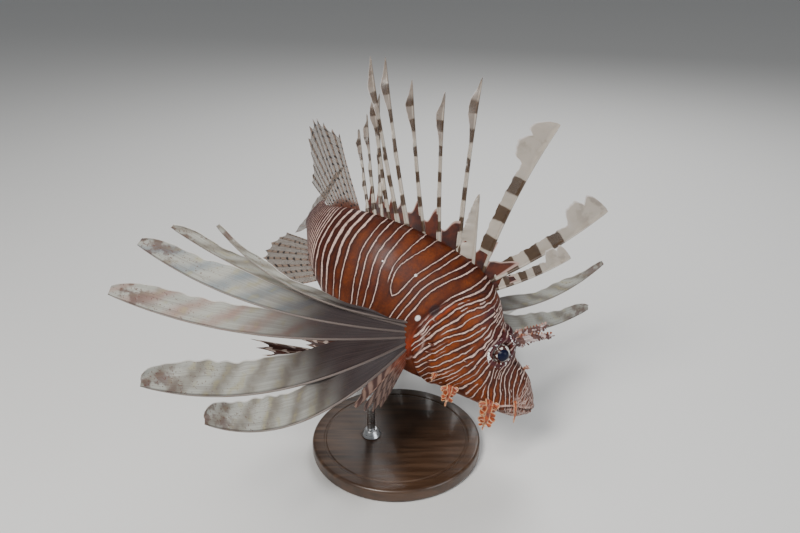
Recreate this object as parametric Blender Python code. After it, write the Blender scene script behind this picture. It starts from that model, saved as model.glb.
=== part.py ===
"""A red lionfish as a still, life-size display model, swimming nose down on a plain stand.

Metres, +Z up, with the origin in the middle of the underside of the stand's base. The fish is laid out in
its own frame first: s runs along the backbone as a fraction of LENGTH, from just under 0 at the lips to 1 at
the root of the tail fin, y is to the fish's left and z is up from the backbone. The backbone is then bent and
turned to the pose.
"""

import math

import bmesh
import bpy
import numpy as np
from mathutils import Matrix, Vector

for old in list(bpy.data.objects):
    bpy.data.objects.remove(old, do_unlink=True)

# Driving sizes
LENGTH = 0.235
GAP = 0.0003
CUT_GAP = 0.0002
AROUND = 32

# Pose: where the middle of the backbone is, how the body is turned, and how the backbone bends
MIDDLE_S = 0.45
MIDDLE = (0.012, 0.004, 0.118)
HEADING = math.radians(-16.5)
NOSE_DOWN = math.radians(33.7)
ROLL = math.radians(-16.0)
HEAD_TURN = 0.20
TAIL_TURN = 1.25
TAIL_BEND_START = 0.50
ARCH = -0.10

# Body profile as fractions of LENGTH: station, back, belly, half width
SNOUT_S = -0.030
PROFILE = (
    (-0.030, -0.018, -0.058, 0.018),
    (-0.010, 0.004, -0.080, 0.036),
    (0.020, 0.023, -0.094, 0.050),
    (0.060, 0.045, -0.105, 0.064),
    (0.105, 0.062, -0.115, 0.077),
    (0.155, 0.092, -0.127, 0.091),
    (0.210, 0.128, -0.140, 0.105),
    (0.270, 0.173, -0.154, 0.117),
    (0.330, 0.197, -0.170, 0.123),
    (0.400, 0.204, -0.180, 0.119),
    (0.480, 0.199, -0.181, 0.109),
    (0.560, 0.185, -0.173, 0.096),
    (0.640, 0.163, -0.156, 0.080),
    (0.720, 0.134, -0.128, 0.062),
    (0.800, 0.100, -0.092, 0.045),
    (0.870, 0.070, -0.062, 0.032),
    (0.940, 0.054, -0.048, 0.022),
    (1.000, 0.054, -0.048, 0.015),
)
BELLY_FULLNESS = 0.12

# Where the head ends: at the nape, at the gill cover's rear edge and at the throat
NAPE_S = 0.280
GILL_S = 0.405
THROAT_S = 0.270
GILL_ANGLE = math.radians(95)
TAIL_ROOT_S = 0.875
TAIL_END_S = 0.995

# Head
EYE_AT = (0.180, 0.068, 0.060)
EYE_RADIUS = 0.0064
EYE_RIM = 0.0010
MOUTH_LINE = ((-0.080, -0.018), (-0.030, -0.028), (0.030, -0.047), (0.090, -0.078))
JAW_REAR = (0.125, -0.170)
JAW_DEPTH = -0.170
LIP_RADIUS = 0.0011
NOSTRIL_AT = (0.085, 0.046)

# Skin and fin colours, with roughness and metallic value
RED_BROWN = ((0.33, 0.075, 0.030), 0.45, 0.0)
ORANGE_RED = ((0.55, 0.12, 0.035), 0.45, 0.0)
PALE_FIN = ((0.62, 0.60, 0.55), 0.40, 0.0)
BANDED = ((0.45, 0.36, 0.27), 0.45, 0.0)
SPOTTED = ((0.50, 0.40, 0.33), 0.40, 0.0)
EYE_BLACK = ((0.010, 0.012, 0.030), 0.08, 0.0)
STAND_WOOD = ((0.10, 0.065, 0.045), 0.45, 0.0)
STAND_STEEL = ((0.55, 0.56, 0.57), 0.30, 1.0)


def smooth_rows(table, at):
    """Columns of a table read at a station, along smooth curves through its rows."""
    rows = np.array(table)
    x = rows[:, 0]
    k = int(np.clip(np.searchsorted(x, at) - 1, 0, len(x) - 2))
    slopes = np.gradient(rows[:, 1:], x, axis=0)
    step = x[k + 1] - x[k]
    t = float(np.clip((at - x[k]) / step, 0.0, 1.0))
    from_a = (1 + 2 * t) * (1 - t) ** 2
    from_b = t * t * (3 - 2 * t)
    slope_a = t * (1 - t) ** 2 * step
    slope_b = t * t * (t - 1) * step
    return from_a * rows[k, 1:] + from_b * rows[k + 1, 1:] + slope_a * slopes[k] + slope_b * slopes[k + 1]


def ease(t):
    """0 to 1 with level ends."""
    t = min(max(t, 0.0), 1.0)
    return t * t * (3 - 2 * t)


def bump(distance, reach):
    """1 at no distance, falling smoothly to nothing."""
    return math.exp(-((distance / reach) ** 2))


# Backbone: its points and its rearward direction, stepped along its length in the fish's own frame
STEPS = 400
BODY_TURN = (
    Matrix.Rotation(HEADING, 3, "Z") @ Matrix.Rotation(NOSE_DOWN, 3, "Y") @ Matrix.Rotation(ROLL, 3, "X")
)


def rearward(s):
    yaw = -HEAD_TURN * max(MIDDLE_S - s, 0.0) / MIDDLE_S
    yaw += TAIL_TURN * ease((s - TAIL_BEND_START) / (1 - TAIL_BEND_START))
    lift = ARCH * (s - MIDDLE_S) * 2
    return Vector((-math.cos(yaw) * math.cos(lift), math.sin(yaw) * math.cos(lift), math.sin(lift)))


def backbone_points():
    points = [Vector((0, 0, 0))]
    for k in range(STEPS):
        points.append(points[-1] + rearward((k + 0.5) / STEPS) * (LENGTH / STEPS))
    shift = points[round(MIDDLE_S * STEPS)]
    return [p - shift for p in points]


BACKBONE = backbone_points()


def frame_at(s):
    """Backbone point and the forward, left and up directions there, in the world."""
    inside = min(max(s, 0.0), 1.0)
    k = min(int(inside * STEPS), STEPS - 1)
    point = BACKBONE[k].lerp(BACKBONE[k + 1], inside * STEPS - k)
    forward = -rearward(inside)
    point = point + forward * (inside - s) * LENGTH
    up = (Vector((0, 0, 1)) - forward * forward.z).normalized()
    left = up.cross(forward)
    axes = [BODY_TURN @ v for v in (forward, left, up)]
    return BODY_TURN @ point + Vector(MIDDLE), *axes


def place(s, y, z):
    """World point at a station, with y and z as fractions of LENGTH."""
    point, _, left, up = frame_at(s)
    return point + left * (y * LENGTH) + up * (z * LENGTH)


def aim(s, forward, out, up, side):
    """World direction from its shares forward, out to that side and up at a station."""
    _, ahead, left, above = frame_at(s)
    return (ahead * forward + left * (out * side) + above * up).normalized()


def relief(s, y, z):
    """How far the head's surface stands out from the plain profile, as a fraction of LENGTH."""
    out = abs(y)
    side = ease(out / 0.04)
    eye = math.hypot(s - EYE_AT[0], z - EYE_AT[2])
    rise = 0.010 * side * bump(eye - 0.040, 0.014) * (0.6 + 0.4 * ease((z - 0.04) / 0.05))
    rise -= 0.010 * bump(out, 0.022) * bump(s - 0.165, 0.060) * ease(z / 0.05)
    rise += 0.004 * side * bump(z + 0.010 + 0.25 * (s - 0.24), 0.012) * bump(s - 0.25, 0.070)
    edge = s - 0.335 - 0.55 * min(z + 0.02, 0.0)
    rise += 0.006 * side * bump(edge, 0.014) * bump(z + 0.035, 0.090)
    rise -= 0.004 * side * bump(edge - 0.026, 0.012) * bump(z + 0.035, 0.090)
    rise += 0.007 * side * bump(s - 0.085, 0.030) * bump(z + 0.060, 0.022)
    rise += 0.020 * side * bump(s - 0.158, 0.030) * bump(z - 0.092, 0.020)
    rise += 0.004 * bump(s + 0.010, 0.025) * bump(z + 0.010, 0.020)
    return rise


def section_point(s, angle, grow=0.0):
    """World point on the skin at a station, at an angle from the back, and grown outwards by a distance."""
    back, belly, half = smooth_rows(PROFILE, s)
    middle = (back + belly) / 2
    tall = (back - belly) / 2
    y = half * math.sin(angle) * (1 - BELLY_FULLNESS * math.cos(angle))
    z = middle + tall * math.cos(angle)
    normal = Vector((math.sin(angle) / half, math.cos(angle) / tall)).normalized()
    out = relief(s, y, z) + grow / LENGTH
    return place(s, y + normal.x * out, z + normal.y * out)


def skin_angle(s, z, side):
    """Angle at which the skin has that height at a station, on one side."""
    back, belly, _ = smooth_rows(PROFILE, s)
    share = (z - (back + belly) / 2) / ((back - belly) / 2)
    return side * math.acos(min(max(share, -1.0), 1.0))


def skin(s, z, side, grow=0.0):
    return section_point(s, skin_angle(s, z, side), grow)


def gill_edge(angle):
    """Station where the head ends, at an angle from the back."""
    angle = abs((angle + math.pi) % (2 * math.pi) - math.pi)
    if angle < GILL_ANGLE:
        return NAPE_S + (GILL_S - NAPE_S) * ease(angle / GILL_ANGLE)
    below = (angle - GILL_ANGLE) / (math.pi - GILL_ANGLE)
    return GILL_S + (THROAT_S - GILL_S) * ease(below)


def tail_edge(_):
    return TAIL_ROOT_S


# Mesh helpers


def material(name, finish):
    colour, roughness, metallic = finish
    mat = bpy.data.materials.new(name)
    mat.use_nodes = True
    shader = mat.node_tree.nodes["Principled BSDF"]
    shader.inputs["Base Color"].default_value = (*colour, 1)
    shader.inputs["Roughness"].default_value = roughness
    shader.inputs["Metallic"].default_value = metallic
    return mat


def mesh_object(name, points, faces, finish=None):
    mesh = bpy.data.meshes.new(name)
    mesh.from_pydata([tuple(p) for p in points], [], faces)
    mesh.validate()
    obj = bpy.data.objects.new(name, mesh)
    bpy.context.scene.collection.objects.link(obj)
    if finish:
        mesh.materials.append(material(name, finish))
    face_out(obj)
    return obj


def face_out(obj):
    """Turns a closed mesh, whose faces already agree, so that they point outwards."""
    shape = bmesh.new()
    shape.from_mesh(obj.data)
    if shape.calc_volume(signed=True) < 0:
        bmesh.ops.reverse_faces(shape, faces=shape.faces)
    shape.to_mesh(obj.data)
    shape.free()


def keep_largest(obj):
    """Leaves only the closed surface that holds the most."""
    shape = bmesh.new()
    shape.from_mesh(obj.data)
    bmesh.ops.triangulate(shape, faces=shape.faces)
    left = set(shape.faces)
    shells = []
    while left:
        shell = [left.pop()]
        for face in shell:
            for edge in face.edges:
                for other in edge.link_faces:
                    if other in left:
                        left.remove(other)
                        shell.append(other)
        corners = [[v.co for v in face.verts] for face in shell]
        shells.append((abs(sum(a.dot(b.cross(c)) for a, b, c in corners)), shell))
    shells.sort(key=lambda pair: pair[0])
    for _, shell in shells[:-1]:
        bmesh.ops.delete(shape, geom=shell, context="FACES")
    loose = [v for v in shape.verts if not v.link_faces]
    bmesh.ops.delete(shape, geom=loose, context="VERTS")
    shape.to_mesh(obj.data)
    shape.free()


def combine(obj, operation, others, solver="EXACT"):
    """Joins or cuts an object with the others in one Boolean, and removes them."""
    group = bpy.data.collections.new("group")
    for other in others:
        group.objects.link(other)
    step = obj.modifiers.new(operation, "BOOLEAN")
    step.operation = operation
    step.operand_type = "COLLECTION"
    step.collection = group
    step.solver = solver
    bpy.context.view_layer.objects.active = obj
    bpy.ops.object.modifier_apply(modifier=step.name)
    for other in others:
        bpy.data.objects.remove(other, do_unlink=True)
    bpy.data.collections.remove(group)
    keep_largest(obj)
    return obj


def ring_faces(first, second, count):
    """Triangles between two rings, split the same way round."""
    faces = []
    for j in range(count):
        after = (j + 1) % count
        faces.append((first + j, first + after, second + after))
        faces.append((first + j, second + after, second + j))
    return faces


# Body: rings of skin points between two edges, closed by walls that fit the next piece's wall

WALL_RINGS = (0.66, 0.33)
ANGLES = [2 * math.pi * j / AROUND for j in range(AROUND)]


def wall_rings(edge, shift, grow):
    """Rings of the cross wall at an edge, shrinking to its middle, and that middle."""
    middle_s = sum(edge(a) for a in ANGLES) / AROUND
    rings = []
    for share in WALL_RINGS:
        ring = []
        for angle in ANGLES:
            s = middle_s + (edge(angle) - middle_s) * share
            skin_point = section_point(s + shift, angle, grow)
            back, belly, _ = smooth_rows(PROFILE, s)
            centre = place(s + shift, 0, (back + belly) / 2)
            ring.append(centre.lerp(skin_point, share))
        rings.append(ring)
    back, belly, _ = smooth_rows(PROFILE, middle_s)
    return rings, place(middle_s + shift, 0, (back + belly) / 2)


def body_piece(name, start, end, shares, shifts=(0, 0), grow=0.0, finish=None):
    """A closed length of the body between two edges, each a station for each angle."""
    front, front_middle = wall_rings(start, shifts[0], grow)
    rear, rear_middle = wall_rings(end, shifts[1], grow)
    rings = list(reversed(front))
    for share in shares:
        ring = []
        for angle in ANGLES:
            a = start(angle) + shifts[0]
            b = end(angle) + shifts[1]
            ring.append(section_point(a + (b - a) * share, angle, grow))
        rings.append(ring)
    rings += rear
    points = [front_middle] + [p for ring in rings for p in ring] + [rear_middle]
    faces = [(0, 1 + (j + 1) % AROUND, 1 + j) for j in range(AROUND)]
    for k in range(len(rings) - 1):
        faces += ring_faces(1 + k * AROUND, 1 + (k + 1) * AROUND, AROUND)
    last = len(points) - 1
    faces += [(last, last - AROUND + j, last - AROUND + (j + 1) % AROUND) for j in range(AROUND)]
    return mesh_object(name, points, faces, finish)


def shares(count, power=1.0):
    return [(k / count) ** power for k in range(count + 1)]


HEAD_SHARES = (0.0, 0.012, 0.04, *[0.08 + 0.92 * k / 15 for k in range(16)])
TRUNK_SHARES = shares(12)
TAIL_SHARES = shares(4)
SHIFT = CUT_GAP / LENGTH


def snout_edge(_):
    return SNOUT_S


def body_cutter(name, grow=GAP):
    """The whole body as one closed shape, grown by the gap, to cut what meets the skin."""
    mid = [(gill_edge, tail_edge, TRUNK_SHARES), (tail_edge, lambda _: TAIL_END_S, TAIL_SHARES)]
    front, front_middle = wall_rings(snout_edge, -SHIFT, grow)
    rings = list(reversed(front))
    for start, end, at in [(snout_edge, gill_edge, HEAD_SHARES), *mid]:
        for share in at if start is snout_edge else at[1:]:
            ring = []
            for angle in ANGLES:
                s = start(angle) + (end(angle) - start(angle)) * share
                ring.append(section_point(s, angle, grow))
            rings.append(ring)
    end = TAIL_END_S + GAP / LENGTH
    rings.append([section_point(end, angle, grow) for angle in ANGLES])
    points = [front_middle] + [p for ring in rings for p in ring] + [place(end, 0, 0)]
    faces = [(0, 1 + (j + 1) % AROUND, 1 + j) for j in range(AROUND)]
    for k in range(len(rings) - 1):
        faces += ring_faces(1 + k * AROUND, 1 + (k + 1) * AROUND, AROUND)
    last = len(points) - 1
    faces += [(last, last - AROUND + j, last - AROUND + (j + 1) % AROUND) for j in range(AROUND)]
    return mesh_object(name, points, faces)


def ball(name, centre, radius, segments=16, rings=10, finish=None, axis=None):
    shape = bmesh.new()
    bmesh.ops.create_uvsphere(shape, u_segments=segments, v_segments=rings, radius=radius)
    turn = axis.to_track_quat("Z", "Y").to_matrix().to_4x4() if axis else Matrix()
    shape.transform(Matrix.Translation(centre) @ turn)
    mesh = bpy.data.meshes.new(name)
    shape.to_mesh(mesh)
    shape.free()
    obj = bpy.data.objects.new(name, mesh)
    bpy.context.scene.collection.objects.link(obj)
    if finish:
        mesh.materials.append(material(name, finish))
    return obj


def tube(name, path, radii, sides=5):
    """A closed tube of rings square to its path."""
    points = []
    guide = Vector((0.137, 0.411, 0.901))
    for k, centre in enumerate(path):
        ahead = path[min(k + 1, len(path) - 1)] - path[max(k - 1, 0)]
        across = ahead.cross(guide).normalized()
        other = ahead.cross(across).normalized()
        for j in range(sides):
            angle = 2 * math.pi * j / sides
            points.append(centre + (across * math.cos(angle) + other * math.sin(angle)) * radii[k])
    faces = []
    for k in range(len(path) - 1):
        faces += ring_faces(k * sides, (k + 1) * sides, sides)
    faces.append(list(range(sides))[::-1])
    faces.append([(len(path) - 1) * sides + j for j in range(sides)])
    return mesh_object(name, points, faces)


def hoop(name, centre, axis, radius, thick, steps=16, sides=6):
    """A closed ring about an axis."""
    across = axis.orthogonal().normalized()
    other = axis.cross(across).normalized()
    points = []
    for k in range(steps):
        turn = 2 * math.pi * k / steps
        out = across * math.cos(turn) + other * math.sin(turn)
        for j in range(sides):
            angle = 2 * math.pi * j / sides
            points.append(centre + out * (radius + thick * math.cos(angle)) + axis * thick * math.sin(angle))
    faces = []
    for k in range(steps):
        faces += ring_faces(k * sides, (k + 1) % steps * sides, sides)
    return mesh_object(name, points, faces)


def sheet(name, grid, halves, normals, finish=None):
    """A closed thin shape on a grid of points, with its half thickness and normal at each, split alike on
    both faces."""
    rows = len(grid)
    columns = len(grid[0])
    points = []
    for face in (1, -1):
        for i in range(rows):
            for j in range(columns):
                points.append(grid[i][j] + normals[i][j] * (face * halves[i][j]))
    count = rows * columns
    faces = []
    for i in range(rows - 1):
        for j in range(columns - 1):
            a = i * columns + j
            b = a + 1
            c = a + columns
            d = c + 1
            faces += [(a, b, d), (a, d, c), (count + a, count + d, count + b), (count + a, count + c, count + d)]
    rim = [j for j in range(columns)]
    rim += [i * columns + columns - 1 for i in range(1, rows)]
    rim += [(rows - 1) * columns + j for j in range(columns - 2, -1, -1)]
    rim += [i * columns for i in range(rows - 2, 0, -1)]
    for k, a in enumerate(rim):
        b = rim[(k + 1) % len(rim)]
        faces += [(b, a, count + a), (b, count + a, count + b)]
    return mesh_object(name, points, faces, finish)


def comb(name, strips, shared, finish=None):
    """A closed fin of strips side by side, each joined to the next over a number of rows and free past them.

    A strip is a list of rows, each a list of (point, half thickness, normal). Both faces are split alike."""
    spots, quads = [], []
    starts = []
    for strip in strips:
        wide = len(strip[0])
        start = len(spots)
        starts.append(start)
        spots += [spot for row in strip for spot in row]
        for i in range(len(strip) - 1):
            for j in range(wide - 1):
                a = start + i * wide + j
                quads.append((a, a + 1, a + wide + 1, a + wide))
    for k in range(len(strips) - 1):
        here, there = len(strips[k][0]), len(strips[k + 1][0])
        for i in range(shared[k]):
            a = starts[k] + i * here + here - 1
            b = starts[k + 1] + i * there
            quads.append((a, b, b + there, a + here))
    count = len(spots)
    points = [p + n * h for p, h, n in spots] + [p - n * h for p, h, n in spots]
    faces = []
    sides = {}
    for a, b, c, d in quads:
        faces += [(a, b, c), (a, c, d), (count + a, count + c, count + b), (count + a, count + d, count + c)]
        for u, v in ((a, b), (b, c), (c, d), (d, a)):
            sides[(u, v)] = (v, u) not in sides
            if not sides[(u, v)]:
                sides[(v, u)] = False
    for (u, v), alone in sides.items():
        if alone:
            faces += [(v, u, count + u), (v, count + u, count + v)]
    return mesh_object(name, points, faces, finish)


def fan(name, rays, rib, web=0.00027, rows=5, notch=0.90, finish=None):
    """A fin of rays, each a root and a tip, with the web between them thinner and a little shorter."""
    columns = []
    for k, (root, tip) in enumerate(rays):
        columns.append((root, tip, rib))
        if k + 1 < len(rays):
            next_root, next_tip = rays[k + 1]
            mid_root = (root + next_root) / 2
            columns.append((mid_root, mid_root.lerp((tip + next_tip) / 2, notch), None))
    grid = [[root.lerp(tip, i / rows) for root, tip, _ in columns] for i in range(rows + 1)]
    halves = []
    for i in range(rows + 1):
        t = i / rows
        halves.append([web if r is None else r * (1 - t) + web * t for _, _, r in columns])
    normals = grid_normals(grid)
    return sheet(name, grid, halves, normals, finish)


def grid_normals(grid):
    rows = len(grid)
    columns = len(grid[0])
    normals = []
    for i in range(rows):
        line = []
        for j in range(columns):
            along = grid[min(i + 1, rows - 1)][j] - grid[max(i - 1, 0)][j]
            across = grid[i][min(j + 1, columns - 1)] - grid[i][max(j - 1, 0)]
            line.append(along.cross(across).normalized())
        normals.append(line)
    return normals


# Head, jaw and eyes


def jaw_wedge(name, grow):
    """A wedge across the head that holds the lower jaw, grown by a distance where it meets the head."""
    line = [*MOUTH_LINE, JAW_REAR]
    raised = []
    for k, (s, z) in enumerate(line):
        a = Vector(line[max(k - 1, 0)])
        b = Vector(line[min(k + 1, len(line) - 1)])
        along = (b - a).normalized()
        raised.append((s - along.y * grow / LENGTH, z + along.x * grow / LENGTH))
    outline = [*raised, (MOUTH_LINE[0][0], JAW_DEPTH)]
    count = len(outline)
    points = [place(s, y, z) for y in (-0.16, 0.16) for s, z in outline]
    faces = [list(range(count)), [count + k for k in range(count)][::-1]]
    for k in range(count):
        after = (k + 1) % count
        faces += [(k, count + k, count + after), (k, count + after, after)]
    return mesh_object(name, points, faces)


def mouth_height(s):
    return float(np.interp(s, [p[0] for p in MOUTH_LINE], [p[1] for p in MOUTH_LINE]))


def lip(name, offset, grow=0.0):
    """A tube of skin along the line of the mouth, round the snout from corner to corner."""
    stations = [MOUTH_LINE[-1][0] + (SNOUT_S + 0.004 - MOUTH_LINE[-1][0]) * k / 6 for k in range(7)]
    right = [skin(s, mouth_height(s) + offset, -1) for s in stations]
    left = [skin(s, mouth_height(s) + offset, 1) for s in reversed(stations)]
    path = right + left
    radii = []
    for k in range(len(path)):
        radii.append(LIP_RADIUS * (0.5 + 0.5 * ease(min(k, len(path) - 1 - k) / 3)) + grow)
    return tube(name, path, radii)


def eye_centre(side):
    return place(EYE_AT[0], EYE_AT[1] * side, EYE_AT[2])


def eye_axis(side):
    return aim(EYE_AT[0], 0.22, 0.95, 0.20, side)


def face_forms(grow=0.0):
    """Lips, eye rims and nostril rims, each grown by a distance."""
    forms = [lip("upper_lip", 0.008, grow), lip("lower_lip", -0.008, grow)]
    for side in (-1, 1):
        axis = eye_axis(side)
        rim = eye_centre(side) + axis * EYE_RADIUS * 0.50
        forms.append(hoop("eye_rim", rim, axis, EYE_RADIUS * 0.90, EYE_RIM + grow))
        nostril = skin(*NOSTRIL_AT, side)
        open_way = aim(NOSTRIL_AT[0], 0.2, 0.7, 0.7, side)
        forms.append(hoop("nostril_rim", nostril, open_way, 0.0011, 0.0005 + grow, 10, 5))
    return forms


def head_mass(name, finish=None):
    """The head and jaw as one shape."""
    whole = body_piece(name, snout_edge, gill_edge, HEAD_SHARES, (0, -SHIFT), finish=finish)
    return combine(whole, "UNION", face_forms())


def make_head():
    head = head_mass("head", RED_BROWN)
    cutters = [jaw_wedge("mouth_cut", GAP)]
    for side in (-1, 1):
        cutters.append(ball("socket", eye_centre(side), EYE_RADIUS + GAP, axis=eye_axis(side)))
    combine(head, "DIFFERENCE", cutters)
    jaw = head_mass("lower_jaw", RED_BROWN)
    combine(jaw, "INTERSECT", [jaw_wedge("jaw_shape", 0.0)])
    for name, side in (("eye_right", -1), ("eye_left", 1)):
        ball(name, eye_centre(side), EYE_RADIUS, finish=EYE_BLACK, axis=eye_axis(side))


def make_body():
    body_piece("trunk", gill_edge, tail_edge, TRUNK_SHARES, (SHIFT, -SHIFT), finish=RED_BROWN)
    body_piece("tail_root", tail_edge, lambda _: TAIL_END_S, TAIL_SHARES, (SHIFT, 0), finish=RED_BROWN)


def grow_from_body(parts, name, on_face=False):
    """Joins a node's pieces and cuts them clear of the body, and of the face's forms for a piece on it."""
    first, rest = parts[0], parts[1:]
    first.name = name
    first.data.name = name
    if rest:
        combine(first, "UNION", rest)
    combine(first, "DIFFERENCE", [body_cutter("body_cut"), *(face_forms(GAP) if on_face else [])])
    return first


# Dorsal spines: thirteen, each with its own flag of skin behind it, and a low web between their roots

# station, length in millimetres, degrees leaned back, flag's width in millimetres, how far the middle is swept
# back as a share of the length, and the flag's shape
SPINES = (
    (0.292, 54, -27, 13, -0.03, "lobes"),
    (0.318, 90, -20, 19, -0.03, "lobes"),
    (0.352, 109, 12, 17, 0.03, "lobes"),
    (0.388, 47, 33, 13, 0.00, "sail"),
    (0.437, 116, 30, 6, 0.01, "pennant"),
    (0.500, 98, 34, 5, 0.01, "pennant"),
    (0.547, 101, 40, 5, 0.01, "pennant"),
    (0.595, 114, 44, 5, 0.01, "pennant"),
    (0.622, 112, 45, 5, 0.01, "pennant"),
    (0.650, 86, 43, 5, 0.01, "pennant"),
    (0.672, 86, 40, 5, 0.01, "pennant"),
    (0.694, 70, 42, 4, 0.01, "pennant"),
    (0.716, 60, 46, 4, 0.01, "pennant"),
)
SPINE_RIB = 0.0013
SPINE_TIP = 0.2
SPINE_SPLAY = (-2.0, 3.0, -3.0)
WEB = 0.00027
ROOT_DEPTH = 0.005
SPINE_WEB_HEIGHTS = (0.009, 0.017)
LOBE_ROWS = (0.40, 0.68, 0.74, 0.80, 0.87, 0.91, 0.95, 1.0)
PENNANT_ROWS = (0.40, 0.62, 0.78, 0.90, 1.0)


def back_point(s, depth=0.0):
    """World point on the ridge of the back, or below it by a distance."""
    _, _, _, up = frame_at(s)
    return section_point(s, 0.0) - up * depth


def belly_point(s, depth=0.0):
    _, _, _, up = frame_at(s)
    return section_point(s, math.pi) + up * depth


def lean(s, degrees, down=False, splay=0.0):
    """Direction of a ray that leans back from the upright, or from straight down."""
    angle = math.radians(degrees)
    return aim(s, -math.sin(angle), math.sin(math.radians(splay)), math.cos(angle) * (-1 if down else 1), 1)


def half_round(distance, reach):
    """A half circle: 1 in the middle and nothing from the reach outwards."""
    return math.sqrt(max(1 - (distance / reach) ** 2, 0.0))


def flag_width(shape, widest, t):
    """Width of a spine's flag of skin at a share of the spine's length, as a distance."""
    if shape == "lobes":
        share = 0.45 * ease(t / 0.15) + 0.55 * max(half_round(t - 0.80, 0.09), half_round(t - 0.94, 0.07))
    elif shape == "sail":
        share = 0.12 + 0.88 * (1 - t) ** 0.8 * ease(t / 0.15)
    else:
        share = 0.30 + 0.70 * bump(t - 0.84, 0.12) * (1 - ease((t - 0.84) / 0.18))
    return widest * 0.001 * share


def make_dorsal_spines():
    roots = [back_point(row[0]) for row in SPINES]
    ways = [lean(row[0], row[2], splay=SPINE_SPLAY[k % len(SPINE_SPLAY)]) for k, row in enumerate(SPINES)]
    strips = []
    for k, (s, length, _, widest, swept, shape) in enumerate(SPINES):
        size = length * 0.001
        _, forward, _, _ = frame_at(s)
        across = (-forward + ways[k] * forward.dot(ways[k])).normalized()
        face = ways[k].cross(across).normalized()
        low = [-ROOT_DEPTH, *SPINE_WEB_HEIGHTS]
        heights = low + [size * t for t in (LOBE_ROWS if shape == "lobes" else PENNANT_ROWS)]
        strip = []
        for i, height in enumerate(heights):
            t = height / size
            centre = roots[k] + ways[k] * height + across * (size * swept * 4 * max(t, 0) * (1 - t))
            rib = SPINE_RIB * (1 - (1 - SPINE_TIP) * max(t, 0))
            wide = rib + flag_width(shape, widest, t)
            if i <= len(SPINE_WEB_HEIGHTS) and k + 1 < len(SPINES):
                following = roots[k + 1] + ways[k + 1] * height
                room = (following - centre).dot(across)
                wide = min(room * (0.72 if i < len(SPINE_WEB_HEIGHTS) else 0.45), room - 1.8 * SPINE_RIB)
            strip.append(
                [
                    (centre - across * rib, rib * 0.35, face),
                    (centre, rib, face),
                    (centre + across * rib, max(rib * 0.4, WEB), face),
                    (centre + across * wide, WEB, face),
                ]
            )
        strips.append(strip)
    shape = comb("dorsal_spines", strips, [1] * (len(SPINES) - 1), BANDED)
    grow_from_body([shape], "dorsal_spines")


# Soft fins: rays fanned between their first and last, given as station, degrees leaned back and length


def soft_fin(name, first, last, count, down, longest_share, rib, finish):
    """A fin of soft rays; the longest ray is at a share of the way back."""
    point = belly_point if down else back_point
    rays = []
    for k in range(count):
        t = k / (count - 1)
        s = first[0] + (last[0] - first[0]) * t
        back = first[1] + (last[1] - first[1]) * t
        ends = first[2] * (1 - t) + last[2] * t
        length = ends + (longest_share[1] - ends) * bump(t - longest_share[0], 0.34)
        along = lean(s, back, down)
        root = point(s, 0.004)
        rays.append((root, root + along * (length * 0.001 + 0.004)))
    shape = fan(name, rays, rib, finish=finish)
    return grow_from_body([shape], name)


SOFT_DORSAL = ((0.735, 59, 56), (0.866, 88, 52), 11, False, (0.45, 98))
ANAL_FIN = ((0.722, 44, 26), (0.850, 74, 40), 9, True, (0.60, 60))


def make_tail_fin():
    """A fan of rays from the tail's root, partly closed, that bends on a little with the tail."""
    _, forward, left, up = frame_at(TAIL_END_S)
    rays = []
    count = 12
    for k in range(count):
        t = 2 * k / (count - 1) - 1
        root = place(TAIL_END_S, 0, 0.048 * t) + forward * 0.003
        turn = math.radians(24 * t + 6)
        length = 0.066 * (1 - 0.10 * t * t) + 0.003
        along = -forward * math.cos(turn) + up * math.sin(turn) + left * 0.12
        rays.append((root, root + along.normalized() * length))
    shape = fan("tail_fin", rays, 0.0005, finish=SPOTTED)
    grow_from_body([shape], "tail_fin")


# Pectoral fins: long rays, each with a broad web above it, joined to each other near the root

PECTORAL_ROOT = ((0.424, -0.018), (0.372, -0.128))
PECTORAL_RIB = 0.0011
WEB_ROWS = (0.012, 0.030, 0.062)
LONG_ROWS = (0.47, 0.62, 0.78, 0.91, 0.967, 1.0)
SHORT_ROWS = (0.75, 1.0)
LONG_RAY = 0.100
WEB_SHARE = 0.80
RIB_ROOM = 0.25
# length in millimetres, degrees out from straight back, degrees down, web's width in millimetres, how far the
# ray bows down as a share of its length, and degrees its web tilts out of the fan
RAYS_RIGHT = (
    (143, 22, 4, 5, 0.100, 25),
    (166, 18, 9, 9, 0.050, 20),
    (181, 20, 13, 14, 0.078, 5),
    (190, 26, 20, 16, 0.068, 0),
    (180, 49, 22, 20, 0.098, -30),
    (160, 61, 21, 19, 0.143, -26),
    (58, 80, 38, 4, 0.03, 15),
    (52, 86, 44, 3, 0.03, 15),
    (46, 93, 49, 3, 0.03, 15),
    (38, 100, 54, 2, 0.03, 15),
)
RAYS_LEFT = (
    (174, 137, -33, 10, 0.13, 35),
    (206, 132, -15, 15, 0.10, 30),
    (180, 116, -4, 17, 0.07, 15),
    (178, 100, 5, 18, 0.08, 10),
    (172, 84, 13, 19, 0.09, 0),
    (156, 68, 18, 20, 0.10, -10),
    (84, 62, 42, 4, 0.03, 15),
    (72, 60, 52, 3, 0.03, 15),
    (62, 62, 60, 3, 0.02, 15),
    (52, 66, 66, 2, 0.02, 15),
)


def ray_direction(s, out, down, side):
    out = math.radians(out)
    down = math.radians(down)
    return aim(s, -math.cos(out) * math.cos(down), math.sin(out) * math.cos(down), -math.sin(down), side)


def strap_width(widest, t):
    """Width of a long ray's web: full along its outer part and rounded at the tip."""
    return widest * 0.001 * ease(t / 0.40) * math.sqrt(max(1 - ((t - 0.2) / 0.81) ** 8, 0.0))


def bow_shape(t):
    """How far a ray is off its straight line: nothing at both ends, about 1 just beyond the middle."""
    return 4 * t * (1 - t) * (0.8 + 0.4 * t)


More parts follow.
